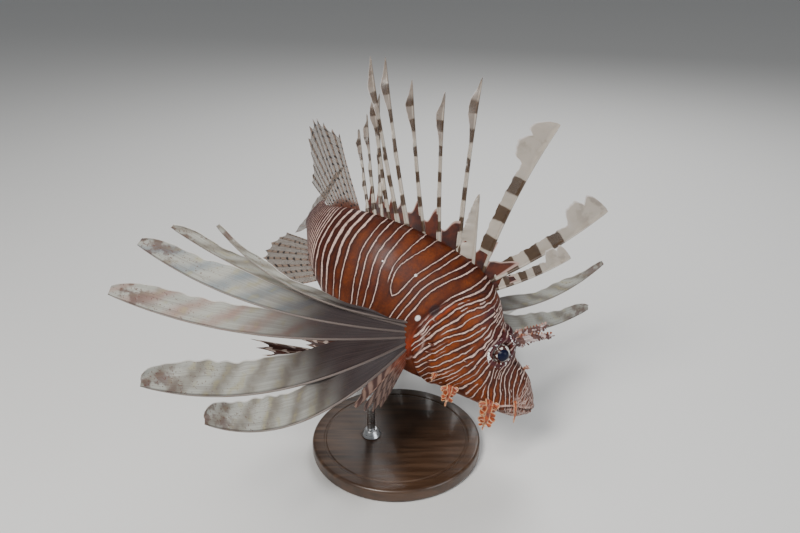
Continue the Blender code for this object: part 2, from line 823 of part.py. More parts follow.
def pectoral_fin(name, rays, side):
    top, bottom = PECTORAL_ROOT
    roots, ways = [], []
    count = len(rays)
    for k, (_, out, down, _, _, _) in enumerate(rays):
        t = k / (count - 1)
        s = top[0] + (bottom[0] - top[0]) * t
        z = top[1] + (bottom[1] - top[1]) * t
        roots.append(skin(s, z, side, -0.004))
        ways.append(ray_direction(s, out, down, side))
    lines = []
    for k, (length, _, _, _, bow, _) in enumerate(rays):
        above = ways[k - 1] - ways[k] if k else ways[0] - ways[1]
        above = (above - ways[k] * above.dot(ways[k])).normalized()
        down = (ways[k] * ways[k].z - Vector((0, 0, 1))).normalized()
        size = length * 0.001
        webbed = WEB_ROWS if size > LONG_RAY else WEB_ROWS[:-1]
        reach = [0.0, *webbed, *[size * t for t in (LONG_ROWS if size > LONG_RAY else SHORT_ROWS)]]
        rows = [roots[k] + ways[k] * r + down * (size * bow * bow_shape(r / size)) for r in reach]
        lines.append((rows, [r / size for r in reach], above, len(webbed)))
    shared = [min(lines[k][3], lines[k + 1][3]) for k in range(count - 1)]
    strips = []
    for k, (_, _, _, widest, _, tilt) in enumerate(rays):
        rows, along_shares, above, _ = lines[k]
        joined = shared[k - 1] if k else shared[0]
        strip = []
        for i, centre in enumerate(rows):
            t = along_shares[i]
            along = (rows[min(i + 1, len(rows) - 1)] - rows[max(i - 1, 0)]).normalized()
            rib = PECTORAL_RIB * (1 - 0.7 * t)
            upper = (above - along * above.dot(along)).normalized()
            wide = rib + max(strap_width(widest, t), 0.0004)
            lower = -upper
            if i <= joined:
                up_gap = (lines[k - 1][0][i] - centre) if k else centre - lines[1][0][i]
                down_gap = (lines[k + 1][0][i] - centre) if k + 1 < count else centre - lines[k - 1][0][i]
                up_gap = up_gap - along * up_gap.dot(along)
                down_gap = down_gap - along * down_gap.dot(along)
                rib = min(rib, RIB_ROOM * min(up_gap.length, down_gap.length))
                upper = up_gap.normalized()
                lower = down_gap.normalized()
                wide = (up_gap.length - rib) * WEB_SHARE if k else wide
            face = along.cross((upper - lower).normalized()) * side
            if k and i > joined:
                room = (lines[k - 1][0][min(i, len(lines[k - 1][0]) - 1)] - centre).length
                wide = min(wide, room * WEB_SHARE) if i == joined + 1 else wide
                angle = math.radians(tilt) * (0.5 if i == joined + 1 else 1)
                upper = upper * math.cos(angle) - face * math.sin(angle)
                lower = -upper
                face = along.cross(upper) * side
            strip.append(
                [
                    (centre + upper * wide, WEB, face),
                    (centre + upper * min(rib, wide * 0.4), max(rib * 0.4, WEB), face),
                    (centre, rib, face),
                    (centre + lower * rib, max(rib * 0.35, WEB * 0.8), face),
                ]
            )
        strips.append(strip)
    web = comb(name, strips, shared, PALE_FIN)
    lobe_points = [skin(s, z, side, 0.001) for s, z in (top, ((top[0] + bottom[0]) / 2, -0.073), bottom)]
    lobe = lobe_shape(lobe_points, ways[count // 2])
    return grow_from_body([web, lobe], name)


def lobe_shape(line, way):
    """The fleshy root of a pectoral fin, a rounded slab from its top to its bottom."""
    path = [line[0].lerp(line[1], 0.1), line[1], line[2].lerp(line[1], 0.1)]
    steps = 6
    spots = []
    for k in range(steps + 1):
        t = k / steps
        spots.append((path[0] * (1 - t) ** 2 + path[1] * (2 * t * (1 - t)) + path[2] * t * t) + way * 0.003)
    radii = [0.0022 + 0.0024 * math.sin(math.pi * k / steps) for k in range(steps + 1)]
    return tube("lobe", spots, radii, sides=8)


# Pelvic fins, folded back under the belly

PELVIC_S = 0.365
PELVIC_RAYS = 6


def pelvic_fin(name, side, upper, lower):
    """A fan between its upper and lower edge, each a direction as shares back, out and down."""
    rays = []
    for k in range(PELVIC_RAYS):
        t = k / (PELVIC_RAYS - 1)
        s = PELVIC_S - 0.018 * t
        root = skin(s, -0.158 - 0.004 * t, side, -0.003)
        back, out, down = [upper[j] * (1 - t) + lower[j] * t for j in range(3)]
        along = aim(s, -back, out, -down, side)
        rays.append((root, root + along * (0.105 - 0.020 * t)))
    shape = fan(name, rays, 0.0009, rows=5, notch=0.88, finish=RED_BROWN)
    return grow_from_body([shape], name)


# Feelers and flaps of skin on the head


def feeler(name, s, z, side, way, length, wide, lobes=5, finish=BANDED, thick=0.0007):
    """A flat, tapered tentacle with a frilled edge, rooted in the skin."""
    root = skin(s, z, side, -0.002)
    along = aim(s, *way, side)
    _, forward, _, _ = frame_at(s)
    across = (forward - along * forward.dot(along)).normalized()
    face = along.cross(across)
    grid, halves = [], []
    rows = lobes * 2
    for i in range(rows + 1):
        t = i / rows
        frill = 1.0 if i % 2 else 0.62
        half = wide * 0.5 * frill * (1 - 0.75 * t)
        centre = root + along * (length * t) + face * (0.10 * length * math.sin(math.pi * t))
        grid.append([centre - across * half, centre, centre + across * half])
        halves.append((0.0003, thick * (1 - 0.5 * t), 0.0003))
    return grow_from_body([sheet(name, grid, halves, grid_normals(grid), finish)], name, on_face=True)


# name, station, height, direction forward, out and up, length, width, lobes
FEELERS = (
    ("brow_tentacle", 0.155, 0.090, (0.50, 0.22, 0.80), 0.030, 0.0110, 6, BANDED),
    ("nostril_cirrus", 0.072, 0.052, (0.40, 0.40, 0.80), 0.007, 0.0028, 2, ORANGE_RED),
    ("lip_flap", 0.048, -0.026, (0.50, 0.55, -0.75), 0.018, 0.0040, 3, ORANGE_RED),
    ("jowl_flap", 0.112, -0.066, (0.40, 0.40, -0.85), 0.030, 0.0130, 5, ORANGE_RED),
    ("cheek_flap", 0.230, -0.105, (0.35, 0.45, -0.80), 0.016, 0.0095, 3, ORANGE_RED),
    ("gill_flap", 0.290, -0.095, (0.10, 0.60, -0.70), 0.007, 0.0050, 2, ORANGE_RED),
)


def make_feelers():
    for name, s, z, way, length, wide, lobes, finish in FEELERS:
        for suffix, side in (("right", -1), ("left", 1)):
            feeler(f"{name}_{suffix}", s, z, side, way, length, wide, lobes, finish)


# Display stand: a round base and one rod up to the belly

BASE_RADIUS = 0.062
BASE_HEIGHT = 0.010
BASE_BEVEL = 0.002
ROD_RADIUS = 0.003
ROD_S = 0.480
COLLAR_RADIUS = 0.0075
COLLAR_HEIGHT = 0.005


def turned(name, profile, at, steps, finish=None):
    """A closed turned shape from radius and height pairs, its first and last on the axis."""
    shape = bmesh.new()
    corners = [shape.verts.new((r, 0, z)) for r, z in profile]
    edges = [shape.edges.new(pair) for pair in zip(corners, corners[1:])]
    bmesh.ops.spin(
        shape, geom=corners + edges, cent=(0, 0, 0), axis=(0, 0, 1), angle=2 * math.pi, steps=steps, use_merge=True
    )
    bmesh.ops.remove_doubles(shape, verts=shape.verts, dist=1e-6)
    bmesh.ops.recalc_face_normals(shape, faces=shape.faces)
    shape.transform(Matrix.Translation(at))
    mesh = bpy.data.meshes.new(name)
    shape.to_mesh(mesh)
    shape.free()
    obj = bpy.data.objects.new(name, mesh)
    bpy.context.scene.collection.objects.link(obj)
    if finish:
        mesh.materials.append(material(name, finish))
    return obj


def make_stand():
    belly = belly_point(ROD_S)
    foot = Vector((belly.x, belly.y, 0))
    edge = BASE_RADIUS - BASE_BEVEL
    profile = [(0, 0), (BASE_RADIUS, 0), (BASE_RADIUS, BASE_HEIGHT - BASE_BEVEL), (edge, BASE_HEIGHT)]
    base = turned("stand_base", [*profile, (0, BASE_HEIGHT)], Vector((0, 0, 0)), 48, STAND_WOOD)
    bore = ROD_RADIUS + GAP
    sunk = 0.004
    low = BASE_HEIGHT - sunk
    hole = turned("hole", [(0, low), (bore, low), (bore, BASE_HEIGHT * 2), (0, BASE_HEIGHT * 2)], foot, 16)
    combine(base, "DIFFERENCE", [hole])
    start = low + GAP
    rod_top = belly.z + 0.020
    rod_profile = [(0, start), (ROD_RADIUS, start), (ROD_RADIUS, rod_top), (0, rod_top)]
    rod = turned("stand_rod", rod_profile, foot, 16, STAND_STEEL)
    collar_low = BASE_HEIGHT + GAP
    collar_top = collar_low + COLLAR_HEIGHT
    collar_profile = [(0, collar_low), (COLLAR_RADIUS, collar_low), (COLLAR_RADIUS * 0.6, collar_top), (0, collar_top)]
    combine(rod, "UNION", [turned("collar", collar_profile, foot, 16)])
    combine(rod, "DIFFERENCE", [body_cutter("body_cut")])


make_head()
make_body()
make_dorsal_spines()
soft_fin("soft_dorsal_fin", *SOFT_DORSAL, 0.0005, SPOTTED)
soft_fin("anal_fin", *ANAL_FIN, 0.0005, SPOTTED)
make_tail_fin()
pectoral_fin("pectoral_fin_right", RAYS_RIGHT, -1)
pectoral_fin("pectoral_fin_left", RAYS_LEFT, 1)
pelvic_fin("pelvic_fin_right", -1, (0.88, 0.26, 0.38), (0.78, 0.32, 0.56))
pelvic_fin("pelvic_fin_left", 1, (0.84, 0.30, 0.42), (0.66, 0.36, 0.64))
make_feelers()
make_stand()

for node in bpy.data.objects:
    node.data.shade_smooth()
    node.data.set_sharp_from_angle(angle=math.radians(40))
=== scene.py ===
# %% [markdown]
# A red lionfish, life size, on a display stand
#
# The solid model of the fish is loaded first and stays where it is. Everything that is seen is then built
# over it: one skin for the whole body, glassy eyes, spines and rays with their webs of skin, frilled
# feelers, and materials made only of nodes. Lengths are in metres.

import math

import bpy
import numpy as np
from mathutils import Matrix, Vector, noise


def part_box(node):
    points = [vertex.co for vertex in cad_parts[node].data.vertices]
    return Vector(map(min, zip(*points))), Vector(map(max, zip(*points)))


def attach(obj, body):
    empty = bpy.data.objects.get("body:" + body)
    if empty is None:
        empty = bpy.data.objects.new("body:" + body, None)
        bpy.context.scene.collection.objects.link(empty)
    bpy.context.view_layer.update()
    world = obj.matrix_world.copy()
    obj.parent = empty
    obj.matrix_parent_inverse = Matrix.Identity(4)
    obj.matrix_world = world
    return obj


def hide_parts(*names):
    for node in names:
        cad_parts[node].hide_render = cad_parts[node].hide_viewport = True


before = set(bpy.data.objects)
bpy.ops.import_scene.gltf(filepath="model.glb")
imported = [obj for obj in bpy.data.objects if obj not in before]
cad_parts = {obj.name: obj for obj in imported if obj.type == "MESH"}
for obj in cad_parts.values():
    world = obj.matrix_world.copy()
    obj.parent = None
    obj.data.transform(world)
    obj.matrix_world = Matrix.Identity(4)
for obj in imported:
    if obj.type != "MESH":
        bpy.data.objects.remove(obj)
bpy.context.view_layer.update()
print("solid nodes:", len(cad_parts))

# %% [markdown]
# The camera comes before the pieces, so that every look at the model is from the photograph's place. A
# normal lens on a full-size sensor sees the fish from half a metre away, from its right and above.

# %% Camera
FISH_MIDDLE = Vector((0.012, 0.004, 0.118))
CAMERA_FROM_FISH = Vector((-0.0092, -0.4753, 0.2498))
CAMERA_LOOKS_DOWN = math.radians(25)

bpy.ops.object.camera_add(location=FISH_MIDDLE + CAMERA_FROM_FISH)
camera = bpy.context.object
camera.rotation_euler = (math.pi / 2 - CAMERA_LOOKS_DOWN, 0, 0)
camera.data.lens = 35
camera.data.sensor_width = 36
camera.data.clip_start = 0.01
bpy.context.scene.camera = camera

# %% [markdown]
# A fish is easiest to design laid out straight: s runs from just under 0 at the lips to 1 at the root of
# the tail fin, and the back, belly and half width are shares of the body's length at each s. The backbone
# is then bent and turned into the pose, and everything that is placed by s and height goes along with it.
# The same numbers shaped the solids, which is why the skin fits over them.

# %% Body layout
LENGTH = 0.235
MIDDLE_S = 0.45
HEADING = math.radians(-16.5)
NOSE_DOWN = math.radians(33.7)
ROLL = math.radians(-16.0)
HEAD_TURN = 0.20
TAIL_TURN = 1.25
TAIL_BEND_START = 0.50
ARCH = -0.10
STEPS = 400
SNOUT_S = -0.030
TAIL_END_S = 0.995
PROFILE = np.array(
    (
        (-0.030, -0.018, -0.058, 0.018),
        (-0.010, 0.004, -0.080, 0.036),
        (0.020, 0.023, -0.094, 0.050),
        (0.060, 0.045, -0.105, 0.064),
        (0.105, 0.062, -0.115, 0.077),
        (0.155, 0.092, -0.127, 0.091),
        (0.210, 0.128, -0.140, 0.105),
        (0.270, 0.173, -0.154, 0.117),
        (0.330, 0.197, -0.170, 0.123),
        (0.400, 0.204, -0.180, 0.119),
        (0.480, 0.199, -0.181, 0.109),
        (0.560, 0.185, -0.173, 0.096),
        (0.640, 0.163, -0.156, 0.080),
        (0.720, 0.134, -0.128, 0.062),
        (0.800, 0.100, -0.092, 0.045),
        (0.870, 0.070, -0.062, 0.032),
        (0.940, 0.054, -0.048, 0.022),
        (1.000, 0.054, -0.048, 0.015),
    )
)
BELLY_FULLNESS = 0.12
NAPE_S = 0.280
GILL_S = 0.405
THROAT_S = 0.270
GILL_ANGLE = math.radians(95)
EYE_AT = (0.180, 0.068, 0.060)
EYE_RADIUS = 0.0064
MOUTH_LINE = ((-0.080, -0.018), (-0.030, -0.028), (0.030, -0.047), (0.090, -0.078))
NOSTRIL_AT = (0.085, 0.046)


def ease(t):
    """0 to 1 with level ends, for a number or an array."""
    t = np.clip(t, 0.0, 1.0)
    return t * t * (3 - 2 * t)


def bump(distance, reach):
    """1 at no distance, falling smoothly to nothing."""
    return np.exp(-((distance / reach) ** 2))


# %% Backbone and the skin's surface
BODY_TURN = np.array(
    Matrix.Rotation(HEADING, 3, "Z") @ Matrix.Rotation(NOSE_DOWN, 3, "Y") @ Matrix.Rotation(ROLL, 3, "X")
)


def rearward(s):
    yaw = -HEAD_TURN * np.maximum(MIDDLE_S - s, 0.0) / MIDDLE_S
    yaw = yaw + TAIL_TURN * ease((s - TAIL_BEND_START) / (1 - TAIL_BEND_START))
    lift = ARCH * (s - MIDDLE_S) * 2
    return np.stack([-np.cos(yaw) * np.cos(lift), np.sin(yaw) * np.cos(lift), np.sin(lift)], axis=-1)


STEP_MIDDLES = (np.arange(STEPS) + 0.5) / STEPS
BACKBONE = np.vstack([np.zeros(3), np.cumsum(rearward(STEP_MIDDLES) * (LENGTH / STEPS), axis=0)])
BACKBONE -= BACKBONE[round(MIDDLE_S * STEPS)]


def frame_at(s):
    """Backbone point and the forward, left and up directions at each s, in the world."""
    s = np.asarray(s, float)
    inside = np.clip(s, 0.0, 1.0)
    stations = np.linspace(0, 1, STEPS + 1)
    point = np.stack([np.interp(inside, stations, BACKBONE[:, k]) for k in range(3)], axis=-1)
    forward = -rearward(inside)
    point = point + forward * ((inside - s) * LENGTH)[..., None]
    up = np.array((0.0, 0.0, 1.0)) - forward * forward[..., 2:3]
    up = up / np.linalg.norm(up, axis=-1, keepdims=True)
    left = np.cross(up, forward)
    point = point @ BODY_TURN.T + np.array(FISH_MIDDLE)
    return point, forward @ BODY_TURN.T, left @ BODY_TURN.T, up @ BODY_TURN.T


def place(s, y, z):
    """World point at a station, with y and z as shares of the length."""
    point, _, left, up = frame_at(s)
    return point + left * (np.asarray(y) * LENGTH)[..., None] + up * (np.asarray(z) * LENGTH)[..., None]


def aim(s, forward, out, up, side):
    """World direction from its shares forward, out to that side and up at a station."""
    _, ahead, left, above = frame_at(s)
    way = ahead * forward + left * (out * side) + above * up
    return way / np.linalg.norm(way)


def smooth_rows(rows, x):
    """Smooth curves through a table's rows; the first column is where each row is."""
    at = rows[:, 0]
    slopes = np.gradient(rows[:, 1:], at, axis=0)
    k = np.clip(np.searchsorted(at, x) - 1, 0, len(at) - 2)
    step = (at[k + 1] - at[k])[..., None]
    t = np.clip((x - at[k])[..., None] / step, 0.0, 1.0)
    level = (1 + 2 * t) * (1 - t) ** 2 * rows[k, 1:] + t * t * (3 - 2 * t) * rows[k + 1, 1:]
    sloped = t * (1 - t) ** 2 * slopes[k] + t * t * (t - 1) * slopes[k + 1]
    return level + sloped * step


def profile(s):
    """Back, belly and half width at each s."""
    rows = smooth_rows(PROFILE, s)
    return rows[..., 0], rows[..., 1], rows[..., 2]


def gill_edge(angle):
    """Station where the gill cover ends, at an angle from the back."""
    angle = np.abs(angle)
    above = NAPE_S + (GILL_S - NAPE_S) * ease(angle / GILL_ANGLE)
    below = GILL_S + (THROAT_S - GILL_S) * ease((angle - GILL_ANGLE) / (math.pi - GILL_ANGLE))
    return np.where(angle < GILL_ANGLE, above, below)


# %% [markdown]
# A head is more than a smooth profile. The relief below adds, as distances out of or into the surface, what
# the real head shows: the swelling round each eye and the hollow between them, the bony ridge across the
# cheek, the edge of the gill cover with the groove behind it, the line of the mouth between two lips, the
# plate over the upper jaw, nostrils, and the folds of skin round the eye.

# %% Relief of the head
EYE_HOLE = EYE_RADIUS / LENGTH


def coarse_relief(s, y, z):
    """The large forms, which the solids have too."""
    out = np.abs(y)
    side = ease(out / 0.04)
    eye = np.hypot(s - EYE_AT[0], z - EYE_AT[2])
    rise = 0.010 * side * bump(eye - 0.040, 0.014) * (0.6 + 0.4 * ease((z - 0.04) / 0.05))
    rise = rise - 0.010 * bump(out, 0.022) * bump(s - 0.165, 0.060) * ease(z / 0.05)
    rise = rise + 0.004 * side * bump(z + 0.010 + 0.25 * (s - 0.24), 0.012) * bump(s - 0.25, 0.070)
    edge = s - 0.335 - 0.55 * np.minimum(z + 0.02, 0.0)
    rise = rise + 0.006 * side * bump(edge, 0.014) * bump(z + 0.035, 0.090)
    rise = rise - 0.004 * side * bump(edge - 0.026, 0.012) * bump(z + 0.035, 0.090)
    rise = rise + 0.007 * side * bump(s - 0.085, 0.030) * bump(z + 0.060, 0.022)
    rise = rise + 0.020 * side * bump(s - 0.158, 0.030) * bump(z - 0.092, 0.020)
    return rise + 0.004 * bump(s + 0.010, 0.025) * bump(z + 0.010, 0.020)


def from_mouth(s, z):
    """Signed height over the line of the mouth."""
    line = np.array(MOUTH_LINE)
    return z - np.interp(s, line[:, 0], line[:, 1])


def fine_relief(s, y, z, angle):
    """The small forms that only the skin has."""
    side = ease(np.abs(y) / 0.03)
    height = from_mouth(s, z)
    in_mouth = ease((0.104 - s) / 0.020)
    rise = in_mouth * (0.0052 * bump(np.abs(height) - 0.0075, 0.0042) - 0.0060 * bump(height, 0.0026))
    rise = rise + 0.010 * bump(s - 0.045, 0.030) * bump(z - 0.016, 0.026)
    plate_back = s - 0.112 + 0.35 * (z + 0.075)
    rise = rise + side * 0.0035 * ease(-plate_back / 0.004) * bump(s - 0.085, 0.026) * bump(z + 0.074, 0.018)
    eye = np.hypot(s - EYE_AT[0], z - EYE_AT[2])
    rise = rise - side * 0.030 * ease((EYE_HOLE * 0.93 - eye) / 0.006)
    rise = rise + side * 0.0060 * bump(eye - EYE_HOLE * 1.06, 0.0055)
    folds = np.cos((eye - EYE_HOLE) * 2 * math.pi / 0.0085)
    rise = rise + side * 0.0009 * folds * bump(eye - EYE_HOLE * 1.7, 0.016)
    for shift, size in ((0.0, 1.0), (0.032, 0.8)):
        hole = np.hypot(s - NOSTRIL_AT[0] - shift, z - NOSTRIL_AT[1] - shift * 0.3)
        rise = rise + side * size * (0.0035 * bump(hole - 0.0060, 0.0024) - 0.0070 * bump(hole, 0.0032))
    behind = s - gill_edge(angle)
    flank = ease((np.abs(angle) - 0.25) / 0.5)
    rise = rise + flank * 0.0060 * bump(behind + 0.012, 0.014) * (behind < 0)
    rise = rise + flank * 0.0060 * bump(0.012, 0.014) * ease(1 - behind / 0.004) * (behind >= 0)
    rise = rise - flank * 0.0050 * bump(behind - 0.008, 0.005)
    brow = s - EYE_AT[0] + 0.9 * (z - 0.105)
    rise = rise + side * 0.0030 * bump(brow, 0.006) * bump(z - 0.108, 0.016) * bump(s - 0.17, 0.05)
    rise = rise + side * 0.013 * bump(s - 0.398, 0.020) * bump(z + 0.073, 0.046)
    rays = np.cos((z + 0.02) * 2 * math.pi / 0.021 + 18 * (s - 0.3))
    return rise + side * 0.0010 * rays * bump(s - 0.30, 0.05) * bump(z + 0.03, 0.07)


def skin_point(s, angle, grow=0.0):
    """World point on the skin at a station and an angle from the back, grown outwards by a distance."""
    s = np.asarray(s, float)
    angle = np.asarray(angle, float)
    back, belly, half = profile(s)
    middle = (back + belly) / 2
    tall = (back - belly) / 2
    y = half * np.sin(angle) * (1 - BELLY_FULLNESS * np.cos(angle))
    z = middle + tall * np.cos(angle)
    normal = np.stack([np.sin(angle) / half, np.cos(angle) / tall], axis=-1)
    normal = normal / np.linalg.norm(normal, axis=-1, keepdims=True)
    out = coarse_relief(s, y, z) + fine_relief(s, y, z, angle) + np.asarray(grow) / LENGTH
    return place(s, y + normal[..., 0] * out, z + normal[..., 1] * out), y, z


def skin(s, z, side, grow=0.0):
    """World point on the skin at a station and a height, on one side."""
    back, belly, _ = profile(np.asarray(s, float))
    share = (z - (back + belly) / 2) / ((back - belly) / 2)
    return skin_point(s, side * np.arccos(np.clip(share, -1, 1)), grow)[0]


# %% [markdown]
# Nearly every piece of a fish is a sheet: the skin wraps round the body, a web spans two rays, a spine is a
# sheet rolled into a tube. So one helper adds Blender's grid, as by hand, and hands its points, counted 0
# to 1 across and along, to a function that says where each goes. The grid's own UV map stays, and materials
# use it to follow the piece. A web then gets its thickness from Solidify.

# %% Helpers for pieces
def deselect_all():
    for other in bpy.context.selected_objects:
        other.select_set(False)


def points_of(obj):
    co = np.empty(len(obj.data.vertices) * 3)
    obj.data.vertices.foreach_get("co", co)
    return co.reshape(-1, 3)


def set_points(obj, co):
    obj.data.vertices.foreach_set("co", np.asarray(co, float).ravel())
    obj.data.update()


def unit_grid(name, columns, rows):
    """A flat grid from 0 to 1 each way."""
    deselect_all()
    bpy.ops.mesh.primitive_grid_add(x_subdivisions=columns, y_subdivisions=rows, size=1, location=(0.5, 0.5, 0))
    obj = bpy.context.object
    obj.name = name
    obj.data.name = name
    bpy.ops.object.transform_apply(location=True, rotation=False, scale=False)
    return obj


def edit(obj, *steps):
    """Runs edit-mode steps on the whole of an object."""
    deselect_all()
    obj.select_set(True)
    bpy.context.view_layer.objects.active = obj
    bpy.ops.object.mode_set(mode="EDIT")
    bpy.ops.mesh.select_all(action="SELECT")
    for step in steps:
        step()
    bpy.ops.object.mode_set(mode="OBJECT")


def weld():
    bpy.ops.mesh.remove_doubles(threshold=1e-6)


def face_outwards():
    bpy.ops.mesh.normals_make_consistent(inside=False)


def apply_modifier(obj, kind, **settings):
    deselect_all()
    obj.select_set(True)
    bpy.context.view_layer.objects.active = obj
    step = obj.modifiers.new(kind, kind)
    for key, value in settings.items():
        setattr(step, key, value)
    bpy.ops.object.modifier_apply(modifier=step.name)


def number_on(obj, name, values):
    """Stores one number at each point, for the materials to read."""
    layer = obj.data.attributes.new(name, "FLOAT", "POINT")
    layer.data.foreach_set("value", np.broadcast_to(values, len(obj.data.vertices)).astype(np.float32))


def web(name, columns, rows, where, thick, own=0.0, kind=0.0, follow_u=False):
    """A thin sheet with its two faces half a thickness either side; follow_u lets own grow across it."""
    obj = unit_grid(name, columns, rows)
    u, v = points_of(obj)[:, 0], points_of(obj)[:, 1]
    set_points(obj, where(u, v))
    number_on(obj, "own", own * u if follow_u else own)
    number_on(obj, "kind", kind)
    apply_modifier(obj, "SOLIDIFY", thickness=thick, offset=0.0)
    return obj


def tube(name, path, radii, sides=8, own=0.0, kind=0.0, shares=None):
    """A closed, tapered tube along a path; its v runs along it, or by the shares given."""
    path = np.asarray(path, float)
    radii = np.asarray(radii, float)
    rows = len(path) - 1
    obj = unit_grid(name, sides, rows)
    u, v = points_of(obj)[:, 0], points_of(obj)[:, 1]
    k = np.rint(v * rows).astype(int)
    along = np.gradient(path, axis=0)
    along = along / np.linalg.norm(along, axis=1, keepdims=True)
    across = np.cross(along, (0.137, 0.411, 0.901))
    across = across / np.linalg.norm(across, axis=1, keepdims=True)
    other = np.cross(along, across)
    turn = (2 * math.pi * u)[:, None]
    rims = (radii * (np.arange(rows + 1) > 0) * (np.arange(rows + 1) < rows))[k][:, None]
    set_points(obj, path[k] + (across[k] * np.cos(turn) + other[k] * np.sin(turn)) * rims)
    if shares is not None:
        layer = obj.data.uv_layers[0]
        corners = np.empty(len(layer.uv) * 2)
        layer.uv.foreach_get("vector", corners)
        corners = corners.reshape(-1, 2)
        corners[:, 1] = np.interp(corners[:, 1], np.linspace(0, 1, rows + 1), shares)
        layer.uv.foreach_set("vector", corners.ravel())
    number_on(obj, "own", own)
    number_on(obj, "kind", kind)
    edit(obj, weld, face_outwards)
    return obj


def join(parts, name):
    """Several pieces as one object."""
    deselect_all()
    for part in parts:
        part.select_set(True)
    bpy.context.view_layer.objects.active = parts[0]
    if len(parts) > 1:
        bpy.ops.object.join()
    parts[0].name = name
    parts[0].data.name = name
    return parts[0]


def finish_piece(obj, material, slot, *nodes, smooth_degrees=50):
    """Shades a piece, gives it its material, hangs it under the root and hides the solids it replaces; its slot is not
    used.
    """
    deselect_all()
    obj.select_set(True)
    bpy.context.view_layer.objects.active = obj
    bpy.ops.object.shade_smooth_by_angle(angle=math.radians(smooth_degrees))
    obj.data.materials.clear()
    obj.data.materials.append(material)
    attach(obj, "root")
    if nodes:
        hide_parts(*nodes)
    print(obj.name, "has", len(obj.data.polygons), "faces")
    return obj


# %% [markdown]
# Materials are made of nodes. Two short helpers keep them readable: one adds a node and fills or links its
# inputs by name, the other starts a material with a Principled shader. Numbers that are the same all over
# a surface go straight on the shader's own sockets.

# %% Helpers for materials
def node(tree, kind, inputs=None, **settings):
    made = tree.nodes.new("ShaderNode" + kind)
    for key, value in settings.items():
        setattr(made, key, value)
    for key, value in (inputs or {}).items():
        if isinstance(value, bpy.types.NodeSocket):
            tree.links.new(value, made.inputs[key])
        else:
            made.inputs[key].default_value = value
    return made


def sums(tree, operation, a, b=0.0, c=0.0):
    return node(tree, "Math", {0: a, 1: b, 2: c}, operation=operation).outputs[0]


def between(tree, value, low, high, to_low=0.0, to_high=1.0):
    """Smoothly maps a value from one range to another."""
    ends = {"Value": value, "From Min": low, "From Max": high, "To Min": to_low, "To Max": to_high}
    return node(tree, "MapRange", ends, interpolation_type="SMOOTHSTEP").outputs[0]


def mixed(tree, share, a, b, blend="MIX"):
    made = node(tree, "Mix", {0: share}, data_type="RGBA", blend_type=blend)
    for key, value in ((6, a), (7, b)):
        if isinstance(value, bpy.types.NodeSocket):
            tree.links.new(value, made.inputs[key])
        else:
            made.inputs[key].default_value = (*value, 1)
    return made.outputs[2]


def reading(tree, name):
    """A number stored on the piece's points."""
    return node(tree, "Attribute", attribute_name=name).outputs["Fac"]


def speckle(tree, scale, detail=3.0, place_from=None, roughness=0.5):
    """Noise from 0 to 1 in the piece's own place."""
    where = place_from or node(tree, "TexCoord").outputs["Object"]
    found = {"Vector": where, "Scale": scale, "Detail": detail, "Roughness": roughness}
    return node(tree, "TexNoise", found).outputs["Fac"]


def new_material(name, roughness, coat=0.0, **values):
    made = bpy.data.materials.new(name)
    made.use_nodes = True
    shader = made.node_tree.nodes["Principled BSDF"]
    shader.inputs["Roughness"].default_value = roughness
    shader.inputs["Coat Weight"].default_value = coat
    shader.inputs["Coat Roughness"].default_value = 0.15
    for key, value in values.items():
        shader.inputs[key.replace("_", " ")].default_value = value
    return made, made.node_tree, shader


def new_group(name, takes, gives):
    """A node group with named number inputs, given with their defaults, and named outputs."""
    group = bpy.data.node_groups.new(name, "ShaderNodeTree")
    for label, default in takes:
        socket = group.interface.new_socket(label, in_out="INPUT", socket_type="NodeSocketFloat")
        socket.default_value = default
    for label in gives:
        group.interface.new_socket(label, in_out="OUTPUT", socket_type="NodeSocketFloat")
    return group, group.nodes.new("NodeGroupInput").outputs, group.nodes.new("NodeGroupOutput")


def use_group(tree, group, **inputs):
    made = node(tree, "Group", node_tree=group)
    for key, value in inputs.items():
        label = key.replace("_", " ")
        if isinstance(value, bpy.types.NodeSocket):
            tree.links.new(value, made.inputs[label])
        else:
            made.inputs[label].default_value = value
    return made


# %% [markdown]
# Two effects are shared by many finishes, so they are node groups. Cross bands run across a spine, strap or
# feeler and wander a little. Fine streaks run along a web, like the threads in it.

# %% Shared effects
def make_cross_bands():
    """Bands across a piece: 1 in a band, 0 between."""
    takes = [("Along", 0.0), ("Count", 8.0), ("Shift", 0.0), ("Wander", 0.25), ("Share", 0.5), ("Soft", 0.1)]
    group, given, out = new_group("cross bands", takes, ["Mask"])
    wave = speckle(group, 90.0, 2.0)
    wander = sums(group, "MULTIPLY", sums(group, "SUBTRACT", wave, 0.5), given["Wander"])
    turns = sums(group, "MULTIPLY_ADD", given["Along"], given["Count"], given["Shift"])
    part = sums(group, "FRACT", sums(group, "ADD", turns, wander))
    off = sums(group, "ABSOLUTE", sums(group, "SUBTRACT", part, 0.5))
    half = sums(group, "MULTIPLY", given["Share"], 0.5)
    low = sums(group, "SUBTRACT", half, given["Soft"])
    high = sums(group, "ADD", half, given["Soft"])
    group.links.new(between(group, off, low, high, 1.0, 0.0), out.inputs["Mask"])
    return group


def make_streaks():
    """Thin threads that run along a web: a value from 0 to 1."""
    takes = [("Across", 0.0), ("Along", 0.0), ("Count", 30.0)]
    group, given, out = new_group("fine streaks", takes, ["Value"])
    u = sums(group, "MULTIPLY", given["Across"], given["Count"])
    v = sums(group, "MULTIPLY", given["Along"], 3.0)
    where = node(group, "CombineXYZ", {"X": u, "Y": v}).outputs[0]
    group.links.new(speckle(group, 1.0, 4.0, where), out.inputs["Value"])
    return group


CROSS_BANDS = make_cross_bands()
STREAKS = make_streaks()

# %% [markdown]
# The skin is one mesh from the lips to the root of the tail fin, so no seam shows. A grid is laid out flat,
# with more rows on the head, and the faces round the mouth, eye and nostrils are subdivided while it is
# still flat, because that is where the smallest forms are. Only then is it wrapped round the body.

